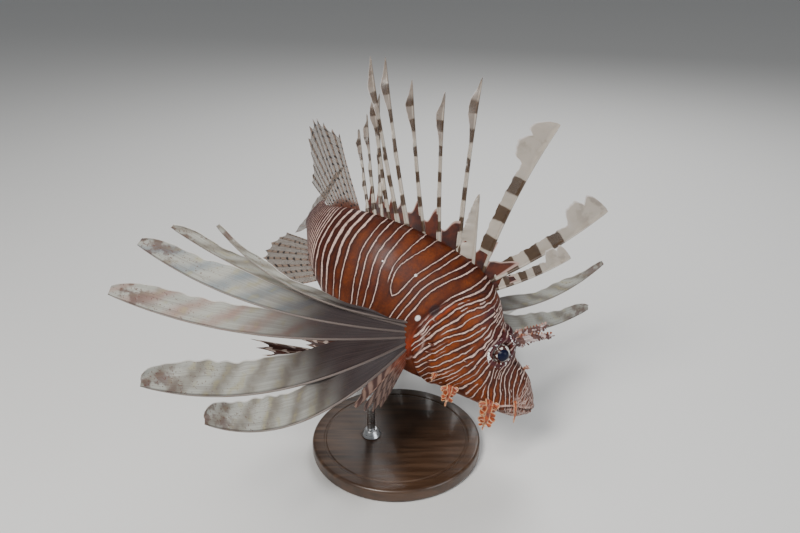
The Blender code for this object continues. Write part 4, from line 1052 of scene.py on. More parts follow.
def make_banded_material():
    mat, tree, shader = new_material("banded spine", 0.45, coat=0.1, Subsurface_Weight=0.08)
    shader.inputs["Subsurface Radius"].default_value = (0.002, 0.001, 0.0006)
    uv = node(tree, "SeparateXYZ", {0: node(tree, "UVMap", uv_map="UVMap").outputs[0]}).outputs
    own = reading(tree, "own")
    kind = reading(tree, "kind")
    mottle = speckle(tree, 160.0, 4.0)
    few = use_group(tree, CROSS_BANDS, Along=uv["Y"], Count=5.2, Shift=0.55, Wander=0.25, Share=0.50, Soft=0.03)
    few = sums(tree, "MULTIPLY", few.outputs["Mask"], between(tree, uv["Y"], 0.66, 0.70, 1.0, 0.0))
    many = use_group(tree, CROSS_BANDS, Along=uv["Y"], Count=6.0, Shift=own, Wander=0.35, Share=0.44, Soft=0.04)
    many = sums(tree, "MULTIPLY", many.outputs["Mask"], between(tree, uv["Y"], 0.86, 0.92, 1.0, 0.2))
    is_pennant = between(tree, kind, 0.7, 0.9)
    is_lobed = between(tree, kind, 0.1, 0.3, 1.0, 0.0)
    dark = sums(tree, "ADD", sums(tree, "MULTIPLY", few, is_lobed), sums(tree, "MULTIPLY", many, is_pennant))
    brown = mixed(tree, mottle, SPINE_BROWN, SPINE_OLIVE)
    pale = mixed(tree, between(tree, mottle, 0.4, 0.7, 0.0, 0.6), SPINE_PALE, FLAG_PALE)
    on_flag = sums(tree, "MULTIPLY", between(tree, uv["X"], 0.12, 0.30), is_pennant)
    grey = sums(tree, "MULTIPLY", on_flag, between(tree, uv["Y"], 0.60, 0.72))
    pale = mixed(tree, sums(tree, "MULTIPLY", grey, 0.8), pale, FLAG_GREY)
    smudge = sums(tree, "MULTIPLY", between(tree, mottle, 0.50, 0.66), between(tree, uv["Y"], 0.70, 0.90))
    pale = mixed(tree, sums(tree, "MULTIPLY", smudge, 0.55), pale, FLAG_GREY)
    colour = mixed(tree, dark, pale, brown)
    rim = sums(tree, "MULTIPLY", between(tree, uv["X"], 0.90, 0.98), between(tree, uv["Y"], 0.55, 0.70))
    colour = mixed(tree, sums(tree, "MULTIPLY", rim, 0.8), colour, (0.66, 0.62, 0.60))
    low_web = between(tree, kind, 1.6, 1.9)
    by_spine = sums(tree, "ABSOLUTE", sums(tree, "MULTIPLY_ADD", uv["X"], 2.0, -1.0))
    by_spine = between(tree, by_spine, 0.74, 0.88)
    web_rim = sums(tree, "MAXIMUM", by_spine, between(tree, uv["Y"], 0.90, 0.97))
    red = mixed(tree, between(tree, mottle, 0.35, 0.65), BAR_DARK, BAR_RED)
    red = mixed(tree, sums(tree, "MULTIPLY", web_rim, 0.55), red, LINE_PINK)
    colour = mixed(tree, low_web, colour, red)
    tree.links.new(colour, shader.inputs["Base Color"])
    thin = sums(tree, "MULTIPLY", between(tree, uv["X"], 0.10, 0.25), between(tree, uv["Y"], 0.25, 0.60))
    thin = sums(tree, "MULTIPLY", thin, sums(tree, "SUBTRACT", 1.0, low_web))
    tree.links.new(sums(tree, "MULTIPLY_ADD", thin, -0.22, 1.0), shader.inputs["Alpha"])
    threads = use_group(tree, STREAKS, Across=uv["X"], Along=uv["Y"], Count=14.0)
    relief = node(tree, "Bump", {"Strength": 0.3, "Distance": 0.0003, "Height": threads.outputs["Value"]})
    tree.links.new(relief.outputs[0], shader.inputs["Normal"])
    return mat


banded_material = make_banded_material()
finish_piece(make_dorsal_spines(), banded_material, "banded_fin", "dorsal_spines")

# %% [markdown]
# The soft dorsal, anal and tail fins are fans: many thin rays, a web between them that falls a little short
# of each tip, and rows of dark spots that sit on the rays. The web's u counts rays, so the material can
# find them.

# %% Soft fins
FAN_NOTCH = 0.93


def fan_lines(first, last, count, down, longest):
    """Roots, ways and lengths of rays between the first and the last."""
    lines = []
    for k in range(count):
        t = k / (count - 1)
        s = first[0] + (last[0] - first[0]) * t
        back = first[1] + (last[1] - first[1]) * t
        ends = first[2] * (1 - t) + last[2] * t
        length = ends + (longest[1] - ends) * bump(t - longest[0], 0.34)
        root = ridge_point(s, 0.003, down)
        lines.append((root, lean(s, back, down) * (length * 0.001 + 0.003)))
    return lines


def tail_lines(count=12):
    """Rays of the tail fin, from the end of the body."""
    _, forward, left, up = frame_at(TAIL_END_S)
    lines = []
    for k in range(count):
        t = 2 * k / (count - 1) - 1
        root = place(TAIL_END_S, 0, 0.048 * t) + forward * 0.003
        turn = math.radians(24 * t + 6)
        along = -forward * math.cos(turn) + up * math.sin(turn) + left * 0.12
        lines.append((root, along / np.linalg.norm(along) * (0.066 * (1 - 0.10 * t * t) + 0.003)))
    return lines


def pelvic_lines(side, upper, lower, count=6):
    """Rays of a pelvic fin between its upper and lower edge."""
    lines = []
    for k in range(count):
        t = k / (count - 1)
        s = 0.365 - 0.018 * t
        root = skin(s, -0.158 - 0.004 * t, side, -0.002)
        back, out, down = [upper[j] * (1 - t) + lower[j] * t for j in range(3)]
        lines.append((root, aim(s, -back, out, -down, side) * (0.105 - 0.020 * t)))
    return lines


def make_fan(name, lines, radius, notch=FAN_NOTCH, ripple=0.0008):
    """A fan of rays with a web between them."""
    count = len(lines)
    roots = np.array([root for root, _ in lines])
    runs = np.array([run for _, run in lines])
    seat = np.arange(count) / (count - 1)
    normal = np.cross(runs[count // 2], roots[-1] - roots[0] + runs[-1] - runs[0])
    normal = normal / np.linalg.norm(normal)

    def surface(u, v):
        root = np.stack([np.interp(u, seat, roots[:, k]) for k in range(3)], axis=1)
        run = np.stack([np.interp(u, seat, runs[:, k]) for k in range(3)], axis=1)
        lift = ripple * v * np.sin(u * 17 + v * 4)
        return root + run * v[:, None] + normal * lift[:, None]

    def webbed(u, v):
        part = (u * (count - 1)) % 1
        reach = notch + (1 - notch) * np.abs(2 * part - 1) ** 2 + 0.006 * np.sin(u * 131)
        return surface(u, v * reach)

    parts = [web(name, (count - 1) * 6, 40, webbed, WEB_THICK, count - 1.0, 0.0, follow_u=True)]
    for k in range(count):
        t = np.linspace(0, 1, 26)
        line = surface(np.full_like(t, seat[k]), t)
        parts.append(tube(f"{name}_ray_{k}", line, radius * (1 - 0.78 * t), 8, k, 1.0, t))
    return join(parts, name)


SOFT_DORSAL = ((0.735, 59, 56), (0.866, 88, 52), 11, False, (0.45, 98))
ANAL_FIN = ((0.722, 44, 26), (0.850, 74, 40), 9, True, (0.60, 60))

# %% [markdown]
# The spots are found with the UV map: u times the number of gaps is a whole number on a ray, v is cut into
# equal lengths, and a spot is where both are near the middle of their cell. A random cell value drops some
# and changes the size of the rest.

# %% Spotted material
def make_rayed_material(name, rows, ground, deep, spot, spot_size, base_red, alpha):
    """A thin web with darker rays and rows of round spots on them."""
    mat, tree, shader = new_material(name, 0.42, coat=0.1, Subsurface_Weight=0.12)
    shader.inputs["Subsurface Radius"].default_value = (0.002, 0.0015, 0.001)
    uv = node(tree, "SeparateXYZ", {0: node(tree, "UVMap", uv_map="UVMap").outputs[0]}).outputs
    kind = reading(tree, "kind")
    across = reading(tree, "own")
    ray = sums(tree, "ROUND", across)
    off_ray = sums(tree, "ABSOLUTE", sums(tree, "SUBTRACT", across, ray))
    stagger = sums(tree, "MULTIPLY", sums(tree, "FRACT", sums(tree, "MULTIPLY", ray, 0.37)), 0.8)
    off_middle = sums(tree, "MULTIPLY_ADD", sums(tree, "FRACT", across), 2.0, -1.0)
    reach = sums(tree, "MULTIPLY_ADD", sums(tree, "MULTIPLY", off_middle, off_middle), 1 - FAN_NOTCH, FAN_NOTCH)
    row = sums(tree, "MULTIPLY_ADD", sums(tree, "MULTIPLY", uv["Y"], reach), rows, stagger)
    off_row = sums(tree, "SUBTRACT", sums(tree, "FRACT", row), 0.5)
    cell = node(tree, "CombineXYZ", {"X": ray, "Y": sums(tree, "FLOOR", row)}).outputs[0]
    luck = node(tree, "TexWhiteNoise", {"Vector": cell}, noise_dimensions="3D").outputs["Value"]
    apart = node(tree, "CombineXYZ", {"X": sums(tree, "MULTIPLY", off_ray, 0.7), "Y": off_row}).outputs[0]
    away = node(tree, "VectorMath", {0: apart}, operation="LENGTH").outputs["Value"]
    size = between(tree, luck, 0.10, 0.80, spot_size * 0.45, spot_size)
    dots = between(tree, away, sums(tree, "MULTIPLY", size, 0.75), size, 1.0, 0.0)
    mottle = speckle(tree, 140.0, 4.0)
    colour = mixed(tree, mottle, ground, deep)
    colour = mixed(tree, between(tree, off_ray, 0.04, 0.16, 0.45, 0.0), colour, (0.24, 0.15, 0.11))
    colour = mixed(tree, kind, colour, mixed(tree, mottle, (0.34, 0.26, 0.21), (0.20, 0.12, 0.09)))
    colour = mixed(tree, between(tree, uv["Y"], 0.03, 0.24, 0.9, 0.0), colour, base_red)
    colour = mixed(tree, dots, colour, spot)
    tree.links.new(colour, shader.inputs["Base Color"])
    thin = between(tree, off_ray, 0.08, 0.20, 1.0, alpha)
    thin = sums(tree, "MAXIMUM", thin, sums(tree, "MAXIMUM", dots, kind))
    thin = sums(tree, "MAXIMUM", thin, between(tree, uv["Y"], 0.06, 0.25, 1.0, 0.0))
    tree.links.new(thin, shader.inputs["Alpha"])
    threads = use_group(tree, STREAKS, Across=across, Along=uv["Y"], Count=9.0)
    relief = node(tree, "Bump", {"Strength": 0.35, "Distance": 0.0003, "Height": threads.outputs["Value"]})
    tree.links.new(relief.outputs[0], shader.inputs["Normal"])
    return mat


BLACK_SPOT = (0.010, 0.007, 0.007)
FIN_GROUND = (0.215, 0.175, 0.140)
FIN_DEEP = (0.105, 0.078, 0.060)
PELVIC_SPOT = (0.60, 0.48, 0.42)
dorsal_material = make_rayed_material("spotted dorsal web", 13, FIN_GROUND, FIN_DEEP, BLACK_SPOT, 0.20, BAR_RED, 0.45)
anal_material = make_rayed_material("spotted anal web", 8, FIN_GROUND, FIN_DEEP, BLACK_SPOT, 0.20, BAR_RED, 0.62)
tail_material = make_rayed_material("spotted tail web", 11, FIN_GROUND, FIN_DEEP, BLACK_SPOT, 0.20, BAR_RED, 0.60)
pelvic_material = make_rayed_material("pelvic web", 10, BAR_RED, BAR_DARK, PELVIC_SPOT, 0.24, BAR_ORANGE, 0.96)
dorsal_fan = make_fan("soft_dorsal", fan_lines(*SOFT_DORSAL), 0.00050)
finish_piece(dorsal_fan, dorsal_material, "spotted_fin", "soft_dorsal_fin")
finish_piece(make_fan("anal_web", fan_lines(*ANAL_FIN), 0.00050), anal_material, "spotted_fin", "anal_fin")
finish_piece(make_fan("tail_web", tail_lines(), 0.00050), tail_material, "spotted_fin", "tail_fin")
PELVICS = (
    ("right_pelvic", -1, (0.88, 0.26, 0.38), (0.78, 0.32, 0.56), "pelvic_fin_right"),
    ("left_pelvic", 1, (0.84, 0.30, 0.42), (0.66, 0.36, 0.64), "pelvic_fin_left"),
)
for name, side, upper, lower, solid in PELVICS:
    fan = make_fan(name, pelvic_lines(side, upper, lower), 0.0008, notch=0.90, ripple=0.0012)
    finish_piece(fan, pelvic_material, "red_fin", solid)

# %% [markdown]
# The great side fins are six long straps and four short rays on each side. A strap is a ray with a broad
# web of skin on its upper side. Close to the body that web reaches the ray above; farther out it lets go
# and becomes a strap of its own, tilted out of the fan, with a scalloped upper edge and a rounded tip.

# %% Pectoral fins
PECTORAL_TOP = (0.424, -0.018)
PECTORAL_BOTTOM = (0.372, -0.128)
PECTORAL_RADIUS = 0.00105
# how far out each long ray's web stays joined to the ray above it, and over what length it lets go
REACHES_RIGHT = (0.0, 0.110, 0.135, 0.100, 0.050, 0.060)
REACHES_LEFT = (0.0, 0.062, 0.062, 0.062, 0.062, 0.062)
SHORT_WEB_REACH = 0.031
LET_GO = 0.030
# length in millimetres, degrees out from straight back, degrees down, web's width in millimetres, how far the
# ray bows down as a share of its length, and degrees its web tilts out of the fan
RAYS_RIGHT = (
    (143, 22, 4, 5, 0.100, 25),
    (166, 18, 9, 9, 0.050, 20),
    (181, 20, 13, 14, 0.078, 5),
    (190, 26, 20, 16, 0.068, 0),
    (180, 49, 22, 20, 0.098, -30),
    (160, 61, 21, 19, 0.143, -26),
    (58, 80, 38, 4, 0.03, 15),
    (52, 86, 44, 3, 0.03, 15),
    (46, 93, 49, 3, 0.03, 15),
    (38, 100, 54, 2, 0.03, 15),
)
RAYS_LEFT = (
    (174, 137, -33, 10, 0.13, 35),
    (206, 132, -15, 15, 0.10, 30),
    (180, 116, -4, 17, 0.07, 15),
    (178, 100, 5, 18, 0.08, 10),
    (172, 84, 13, 19, 0.09, 0),
    (156, 68, 18, 20, 0.10, -10),
    (84, 62, 42, 4, 0.03, 15),
    (72, 60, 52, 3, 0.03, 15),
    (62, 62, 60, 3, 0.02, 15),
    (52, 66, 66, 2, 0.02, 15),
)
LONG_RAY = 0.100


def ray_direction(s, out, down, side):
    out = math.radians(out)
    down = math.radians(down)
    return aim(s, -math.cos(out) * math.cos(down), math.sin(out) * math.cos(down), -math.sin(down), side)


def ray_table(rays, side):
    """Root, way, length and bow direction of each ray, and the direction of its web before it tilts."""
    found = []
    count = len(rays)
    for k, (length, out, down, widest, bow, tilt) in enumerate(rays):
        t = k / (count - 1)
        s = PECTORAL_TOP[0] + (PECTORAL_BOTTOM[0] - PECTORAL_TOP[0]) * t
        z = PECTORAL_TOP[1] + (PECTORAL_BOTTOM[1] - PECTORAL_TOP[1]) * t
        way = ray_direction(s, out, down, side)
        sag = way * way[2] - np.array((0, 0, 1.0))
        sag = sag / np.linalg.norm(sag)
        found.append([skin(s, z, side, -0.003), way, length * 0.001, sag * bow, widest, math.radians(tilt)])
    for k, row in enumerate(found):
        above = found[k - 1][1] - row[1] if k else row[1] - found[1][1]
        above = above - row[1] * above.dot(row[1])
        row.append(above / np.linalg.norm(above))
    return found


def along_ray(row, reach):
    """Points on a ray at distances from its root."""
    root, way, size, sag = row[:4]
    t = reach / size
    return root + way * reach[:, None] + sag * (size * 4 * t * (1 - t) * (0.8 + 0.4 * t))[:, None]


def strap_width(widest, t):
    """Width of a long ray's web: full along its outer part and rounded at the tip."""
    return widest * 0.001 * ease(t / 0.40) * np.sqrt(np.clip(1 - ((t - 0.2) / 0.81) ** 8, 0, 1))


def make_pectoral(name, rays, side, reaches):
    table = ray_table(rays, side)
    parts = []
    for k, row in enumerate(table):
        size, widest, tilt, above = row[2], row[4], row[5], row[6]
        long_ray = size > LONG_RAY
        kind = 0.0 if long_ray else 1.0
        t = np.linspace(0, 1, 50 if long_ray else 30)
        radii = PECTORAL_RADIUS * (1 - 0.80 * t) * (1.0 if long_ray else 0.8)
        parts.append(tube(f"{name}_ray_{k}", along_ray(row, t * size), radii, 8, k, 0.25 if long_ray else 1.0, t))
        held = reaches[k] if long_ray else SHORT_WEB_REACH
        neighbour = table[k - 1] if k else None

        def strap(u, v):
            reach = v * size
            centre = along_ray(row, reach)
            ahead = along_ray(row, reach + 0.0005) - centre
            ahead = ahead / np.linalg.norm(ahead, axis=1, keepdims=True)
            upper = above - ahead * (ahead @ above)[:, None]
            upper = upper / np.linalg.norm(upper, axis=1, keepdims=True)
            free = ease((reach - held * 0.85) / LET_GO)
            turn = (tilt * free)[:, None]
            face = np.cross(ahead, upper) * side
            upper = upper * np.cos(turn) - face * np.sin(turn)
            ragged = 1 + 0.035 * u * (np.abs(np.sin(v * 37 + k)) + 0.6 * np.sin(v * 89 + 2 * k)) * ease((v - 0.4) / 0.2)
            wide = (0.0007 + strap_width(widest, v)) * ragged
            out = upper * wide[:, None]
            if neighbour is not None:
                over = along_ray(neighbour, np.minimum(reach, neighbour[2])) - centre
                out = over * (1 - free)[:, None] + out * free[:, None]
            ripple = 0.0010 * u * np.sin(v * 23 + k * 2.1) * free + 0.0006 * np.sin(u * 9 + v * 5) * u * free
            return centre + out * u[:, None] + face * ripple[:, None]

        columns, rows = (16, 110) if long_ray else (8, 40)
        parts.append(web(f"{name}_web_{k}", columns, rows, strap, WEB_THICK, k, kind))
    return join(parts, name)


# %% [markdown]
# The straps are pearly: pale grey crossed by slanting bands, which are bluish on the third strap, pink and
# yellow on the fourth and grey-brown on the lower ones, with fine threads along them, blotched tips and a
# thin white rim. Towards the body they darken to grey-purple and the rays show as pale lines. Each point
# stores its ray's number, so one material can tell the straps apart. The short rays are banded brown.

# %% Pearly material
PEARL = (0.430, 0.430, 0.385)
BAND_BROWN = (0.190, 0.165, 0.130)
BAND_BLUE = (0.230, 0.270, 0.295)
BAND_PINK = (0.360, 0.235, 0.195)
BAND_YELLOW = (0.400, 0.360, 0.200)
WEB_PURPLE = (0.016, 0.009, 0.010)
RAY_PALE = (0.230, 0.185, 0.165)
RIM_WHITE = (0.640, 0.620, 0.580)
SHORT_PALE = (0.210, 0.130, 0.100)
SHORT_DARK = (0.055, 0.024, 0.020)


def make_pearly_material():
    mat, tree, shader = new_material("pearly strap", 0.46, coat=0.06, Subsurface_Weight=0.06)
    shader.inputs["Specular IOR Level"].default_value = 0.30
    shader.inputs["Subsurface Radius"].default_value = (0.002, 0.0015, 0.001)
    uv = node(tree, "SeparateXYZ", {0: node(tree, "UVMap", uv_map="UVMap").outputs[0]}).outputs
    ray = reading(tree, "own")
    kind = reading(tree, "kind")
    shift = sums(tree, "MULTIPLY", ray, 0.31)
    slanted = sums(tree, "MULTIPLY_ADD", uv["X"], 0.12, uv["Y"])
    broad = use_group(tree, CROSS_BANDS, Along=slanted, Count=8.0, Shift=shift, Wander=0.45, Share=0.44, Soft=0.20)
    thin = use_group(tree, CROSS_BANDS, Along=slanted, Count=13.0, Shift=shift, Wander=1.4, Share=0.30, Soft=0.14)
    third = between(tree, ray, 1.4, 2.0)
    fourth = sums(tree, "MULTIPLY", between(tree, ray, 2.4, 3.0), between(tree, ray, 3.2, 3.8, 1.0, 0.0))
    lower = between(tree, ray, 3.2, 4.0)
    paint = mixed(tree, third, BAND_BROWN, BAND_BLUE)
    paint = mixed(tree, fourth, paint, BAND_PINK)
    paint = mixed(tree, lower, paint, BAND_BROWN)
    blotch = speckle(tree, 130.0, 4.0)
    share = sums(tree, "MULTIPLY", broad.outputs["Mask"], between(tree, blotch, 0.30, 0.60, 0.55, 0.90))
    colour = mixed(tree, share, PEARL, paint)
    yellow = sums(tree, "MULTIPLY", thin.outputs["Mask"], between(tree, blotch, 0.45, 0.62, 0.0, 0.50))
    colour = mixed(tree, yellow, colour, BAND_YELLOW)
    threads = use_group(tree, STREAKS, Across=uv["X"], Along=uv["Y"], Count=26.0).outputs["Value"]
    colour = mixed(tree, between(tree, threads, 0.38, 0.70, 0.0, 0.45), colour, (0.170, 0.155, 0.140))
    near_root = between(tree, uv["Y"], 0.28, 0.70, 0.98, 0.0)
    colour = mixed(tree, near_root, colour, mixed(tree, between(tree, threads, 0.3, 0.7), WEB_PURPLE, (0.040, 0.026, 0.026)))
    tip = sums(tree, "MULTIPLY", between(tree, uv["Y"], 0.82, 0.95), between(tree, blotch, 0.44, 0.56))
    colour = mixed(tree, sums(tree, "MULTIPLY", tip, 0.80), colour, (0.120, 0.070, 0.060))
    freckle = between(tree, speckle(tree, 800.0, 1.0), 0.64, 0.70)
    outer = sums(tree, "MULTIPLY", freckle, between(tree, uv["Y"], 0.6, 0.9, 0.1, 0.8))
    colour = mixed(tree, outer, colour, (0.13, 0.055, 0.045))
    colour = mixed(tree, between(tree, uv["X"], 0.03, 0.09, 0.6, 0.0), colour, WEB_PURPLE)
    edge = sums(tree, "MULTIPLY", between(tree, uv["X"], 0.955, 0.985), between(tree, uv["Y"], 0.40, 0.55))
    colour = mixed(tree, sums(tree, "MULTIPLY", edge, 0.9), colour, RIM_WHITE)
    is_ray = sums(tree, "MULTIPLY", between(tree, kind, 0.15, 0.24), between(tree, kind, 0.30, 0.50, 1.0, 0.0))
    colour = mixed(tree, sums(tree, "MULTIPLY", is_ray, between(tree, uv["Y"], 0.05, 0.40, 0.30, 0.70)), colour, RAY_PALE)
    stripes = use_group(tree, CROSS_BANDS, Along=slanted, Count=6.5, Shift=0.2, Wander=0.7, Share=0.48, Soft=0.14)
    short = mixed(tree, stripes.outputs["Mask"], SHORT_PALE, SHORT_DARK)
    short = mixed(tree, between(tree, uv["Y"], 0.10, 0.45, 0.85, 0.0), short, (0.22, 0.045, 0.016))
    colour = mixed(tree, between(tree, kind, 0.6, 0.9), colour, short)
    tree.links.new(colour, shader.inputs["Base Color"])
    relief = node(tree, "Bump", {"Strength": 0.45, "Distance": 0.0004, "Height": threads})
    tree.links.new(relief.outputs[0], shader.inputs["Normal"])
    return mat


pearly_material = make_pearly_material()
finish_piece(make_pectoral("right_pectoral", RAYS_RIGHT, -1, REACHES_RIGHT), pearly_material, "pale_fin", "pectoral_fin_right")
finish_piece(make_pectoral("left_pectoral", RAYS_LEFT, 1, REACHES_LEFT), pearly_material, "pale_fin", "pectoral_fin_left")

# %% [markdown]
# Frilled feelers grow from the brow, nostrils, lips, jowl and cheek. Each is a narrow blade with small round
# leaflets along both edges, bent out of its plane by seeded random angles, so that it looks bushy from all
# sides as the real ones do.

# %% Feelers and flaps
# name, station, height, direction forward, out and up, length, blade's width, leaflets a side, their length,
# and 0 for banded or 1 for orange
FEELERS = (
    ("brow_tentacle", 0.155, 0.090, (0.50, 0.22, 0.80), 0.030, 0.0068, 12, 0.0030, 0.0),
    ("nostril_cirrus", 0.072, 0.052, (0.40, 0.40, 0.80), 0.006, 0.0016, 2, 0.0012, 0.6),
    ("lip_flap", 0.048, -0.026, (0.50, 0.55, -0.75), 0.016, 0.0022, 3, 0.0012, 1.0),
    ("jowl_flap", 0.112, -0.066, (0.40, 0.40, -0.85), 0.022, 0.0060, 7, 0.0064, 1.0),
    ("cheek_flap", 0.230, -0.105, (0.35, 0.45, -0.80), 0.015, 0.0045, 4, 0.0058, 1.0),
    ("gill_flap", 0.290, -0.095, (0.10, 0.60, -0.70), 0.007, 0.0020, 3, 0.0018, 1.0),
)
FRILL_SEED = 7


def make_feeler(name, s, z, side, direction, length, wide, count, leaf_length, kind):
    chance = np.random.default_rng(FRILL_SEED)
    root = skin(s, z, side, -0.001)
    along = aim(s, *direction, side)
    forward = frame_at(s)[1]
    across = forward - along * forward.dot(along)
    across = across / np.linalg.norm(across)
    face = np.cross(along, across)
    size = length - leaf_length * 0.4

    def spine_of(v):
        bow = 0.10 * length * np.sin(math.pi * v)
        return root + along * (size * v)[:, None] + face * bow[:, None]

    def blade(u, v):
        off = 2 * u - 1
        half = wide * 0.5 * (1 - 0.60 * v) * np.sqrt(np.clip(1 - v**8, 0, 1)) + 0.0001
        ripple = 0.12 * wide * off * np.sin(v * 21)
        return spine_of(v) + across * (half * off)[:, None] + face * ripple[:, None]

    own = 0.3 if side < 0 else 0.7
    parts = [web(name, 8, 40, blade, 0.0004, own, kind)]
    for k in range(2 * count + 1):
        edge = (-1) ** k if k < 2 * count else 0
        v = min(1.0, 0.12 + 0.86 * (k // 2 + 0.5 * (k % 2)) / count)
        foot = spine_of(np.array([v]))[0] + across * (edge * wide * 0.42 * (1 - 0.60 * v) * (v < 0.99))
        rise = chance.uniform(0.3, 0.9)
        twist = chance.uniform(-0.8, 0.8)
        way = across * edge + along * (rise if edge else 1.0) + face * twist
        way = way / np.linalg.norm(way)
        over = along * chance.uniform(0.5, 1.0) - across * edge * 0.3 + face * chance.uniform(-0.9, 0.9)
        over = over - way * over.dot(way)
        over = over / np.linalg.norm(over)
        reach = leaf_length * (1 - 0.45 * v) * chance.uniform(0.75, 1.15)

        def leaflet(u, v):
            half = reach * 0.46 * np.sqrt(np.clip(v * (2 - v) * (1.04 - v**6), 0, 1))
            cup = reach * 0.16 * (2 * u - 1) ** 2
            sheet = foot + way * (reach * v)[:, None] + over * (half * (2 * u - 1))[:, None]
            return sheet + np.cross(way, over) * cup[:, None]

        parts.append(web("leaflet", 5, 7, leaflet, 0.0003, own, min(1.0, kind + 0.5 * (k % 2))))
    t = np.linspace(0, 1, 24)
    thick = 0.0007 * (1 - 0.7 * t) * min(1.0, wide / 0.004)
    parts.append(tube(name + "_stem", spine_of(t * 0.96), thick, 8, own, kind, t))
    return join(parts, name)


def make_feeler_material():
    mat, tree, shader = new_material("frilled skin", 0.45, coat=0.2, Subsurface_Weight=0.12)
    shader.inputs["Subsurface Radius"].default_value = (0.002, 0.0008, 0.0004)
    uv = node(tree, "SeparateXYZ", {0: node(tree, "UVMap", uv_map="UVMap").outputs[0]}).outputs
    kind = reading(tree, "kind")
    mottle = speckle(tree, 420.0, 3.0)
    off = sums(tree, "ABSOLUTE", sums(tree, "MULTIPLY_ADD", uv["X"], 2.0, -1.0))
    patches = between(tree, speckle(tree, 260.0, 2.0), 0.50, 0.56)
    dark = mixed(tree, mottle, (0.040, 0.018, 0.030), (0.150, 0.055, 0.030))
    banded = mixed(tree, patches, dark, (0.46, 0.37, 0.36))
    rims = sums(tree, "MAXIMUM", between(tree, off, 0.62, 0.85), between(tree, uv["Y"], 0.80, 0.95))
    orange = mixed(tree, between(tree, mottle, 0.3, 0.7), (0.36, 0.070, 0.014), (0.17, 0.026, 0.008))
    frill = mixed(tree, sums(tree, "MULTIPLY", rims, 0.85), orange, (0.62, 0.36, 0.20))
    colour = mixed(tree, between(tree, kind, 0.0, 1.0), banded, frill)
    thorn_paint = mixed(tree, between(tree, uv["Y"], 0.45, 0.9), BAR_RED, (0.40, 0.26, 0.20))
    colour = mixed(tree, between(tree, kind, 1.4, 1.6), colour, thorn_paint)
    tree.links.new(colour, shader.inputs["Base Color"])
    relief = node(tree, "Bump", {"Strength": 0.3, "Distance": 0.0003, "Height": mottle})
    tree.links.new(relief.outputs[0], shader.inputs["Normal"])
    return mat


feeler_material = make_feeler_material()
for name, s, z, direction, length, wide, count, leaf_length, kind in FEELERS:
    for word, side in (("right", -1), ("left", 1)):
        piece = make_feeler(f"{word}_{name}", s, z, side, direction, length, wide, count, leaf_length, kind)
        finish_piece(piece, feeler_material, "feeler", f"{name}_{word}")

# %% [markdown]
# A scorpionfish's head carries short bony spines over the eye, on the nape and along the edge of the cheek.
# They are small cones set in the skin. A few hair-thin threads hang at the lips.

# %% Head spines and threads
# station, height, direction forward, out and up, length, thickness
HEAD_SPINES = (
    (0.205, 0.108, (-0.70, 0.35, 0.60), 0.0045, 0.0012),
    (0.225, 0.118, (-0.75, 0.30, 0.55), 0.0038, 0.0011),
    (0.262, 0.142, (-0.80, 0.30, 0.50), 0.0042, 0.0011),
    (0.215, -0.002, (-0.85, 0.50, -0.05), 0.0032, 0.0010),
    (0.245, -0.010, (-0.85, 0.50, -0.05), 0.0034, 0.0010),
    (0.345, -0.028, (-0.80, 0.55, -0.10), 0.0055, 0.0013),
    (0.338, -0.052, (-0.75, 0.55, -0.30), 0.0048, 0.0012),
    (0.322, -0.078, (-0.65, 0.55, -0.50), 0.0042, 0.0011),
    (0.378, 0.030, (-0.85, 0.50, 0.10), 0.0046, 0.0012),
)
# station, height, direction and length of the hair-thin threads
THREADS = (
    (0.020, -0.030, (0.90, 0.30, 0.10), 0.0060),
    (0.004, -0.038, (0.90, 0.25, -0.30), 0.0050),
    (0.050, 0.020, (0.75, 0.50, 0.30), 0.0050),
)


def thorn(name, s, z, side, direction, length, thick):
    """A short curved cone out of the skin."""
    way = aim(s, *direction, side)
    t = np.linspace(0, 1, 12)
    lift = aim(s, 0.0, 1.0, 0.0, side)
    path = skin(s, z, side, -0.0008) + way * (length * t)[:, None] - lift * (0.12 * length * t * t)[:, None]
    return tube(name, path, thick * (1 - 0.9 * t), 10, 0.2, 2.0, t)


thorns = []
for side in (-1, 1):
    thorns += [thorn("thorn", s, z, side, way, size, thick) for s, z, way, size, thick in HEAD_SPINES]
    thorns += [thorn("thread", s, z, side, way, size, 0.00022) for s, z, way, size in THREADS]
finish_piece(join(thorns, "head_thorns"), feeler_material, "feeler")

# %% [markdown]
# The stand is plain, so that the eye stays on the fish: a turned wooden base with a rounded edge and one
# shallow groove, and a steel rod in a collar. Both take the solids' exact sizes.

# %% Stand
BASE_EDGE = 0.0022


def turned_piece(name, radius, low, high, foot, bevel, segments=8):
    """A cylinder with rounded edges, standing at a foot point."""
    deselect_all()
    middle = (foot[0], foot[1], (low + high) / 2)
    bpy.ops.mesh.primitive_cylinder_add(vertices=128, radius=radius, depth=high - low, location=middle)
    made = bpy.context.object
    made.name = name
    bpy.ops.object.transform_apply(location=True, rotation=True, scale=True)
    apply_modifier(made, "BEVEL", width=bevel, segments=segments, limit_method="ANGLE", angle_limit=math.radians(40))
    return made


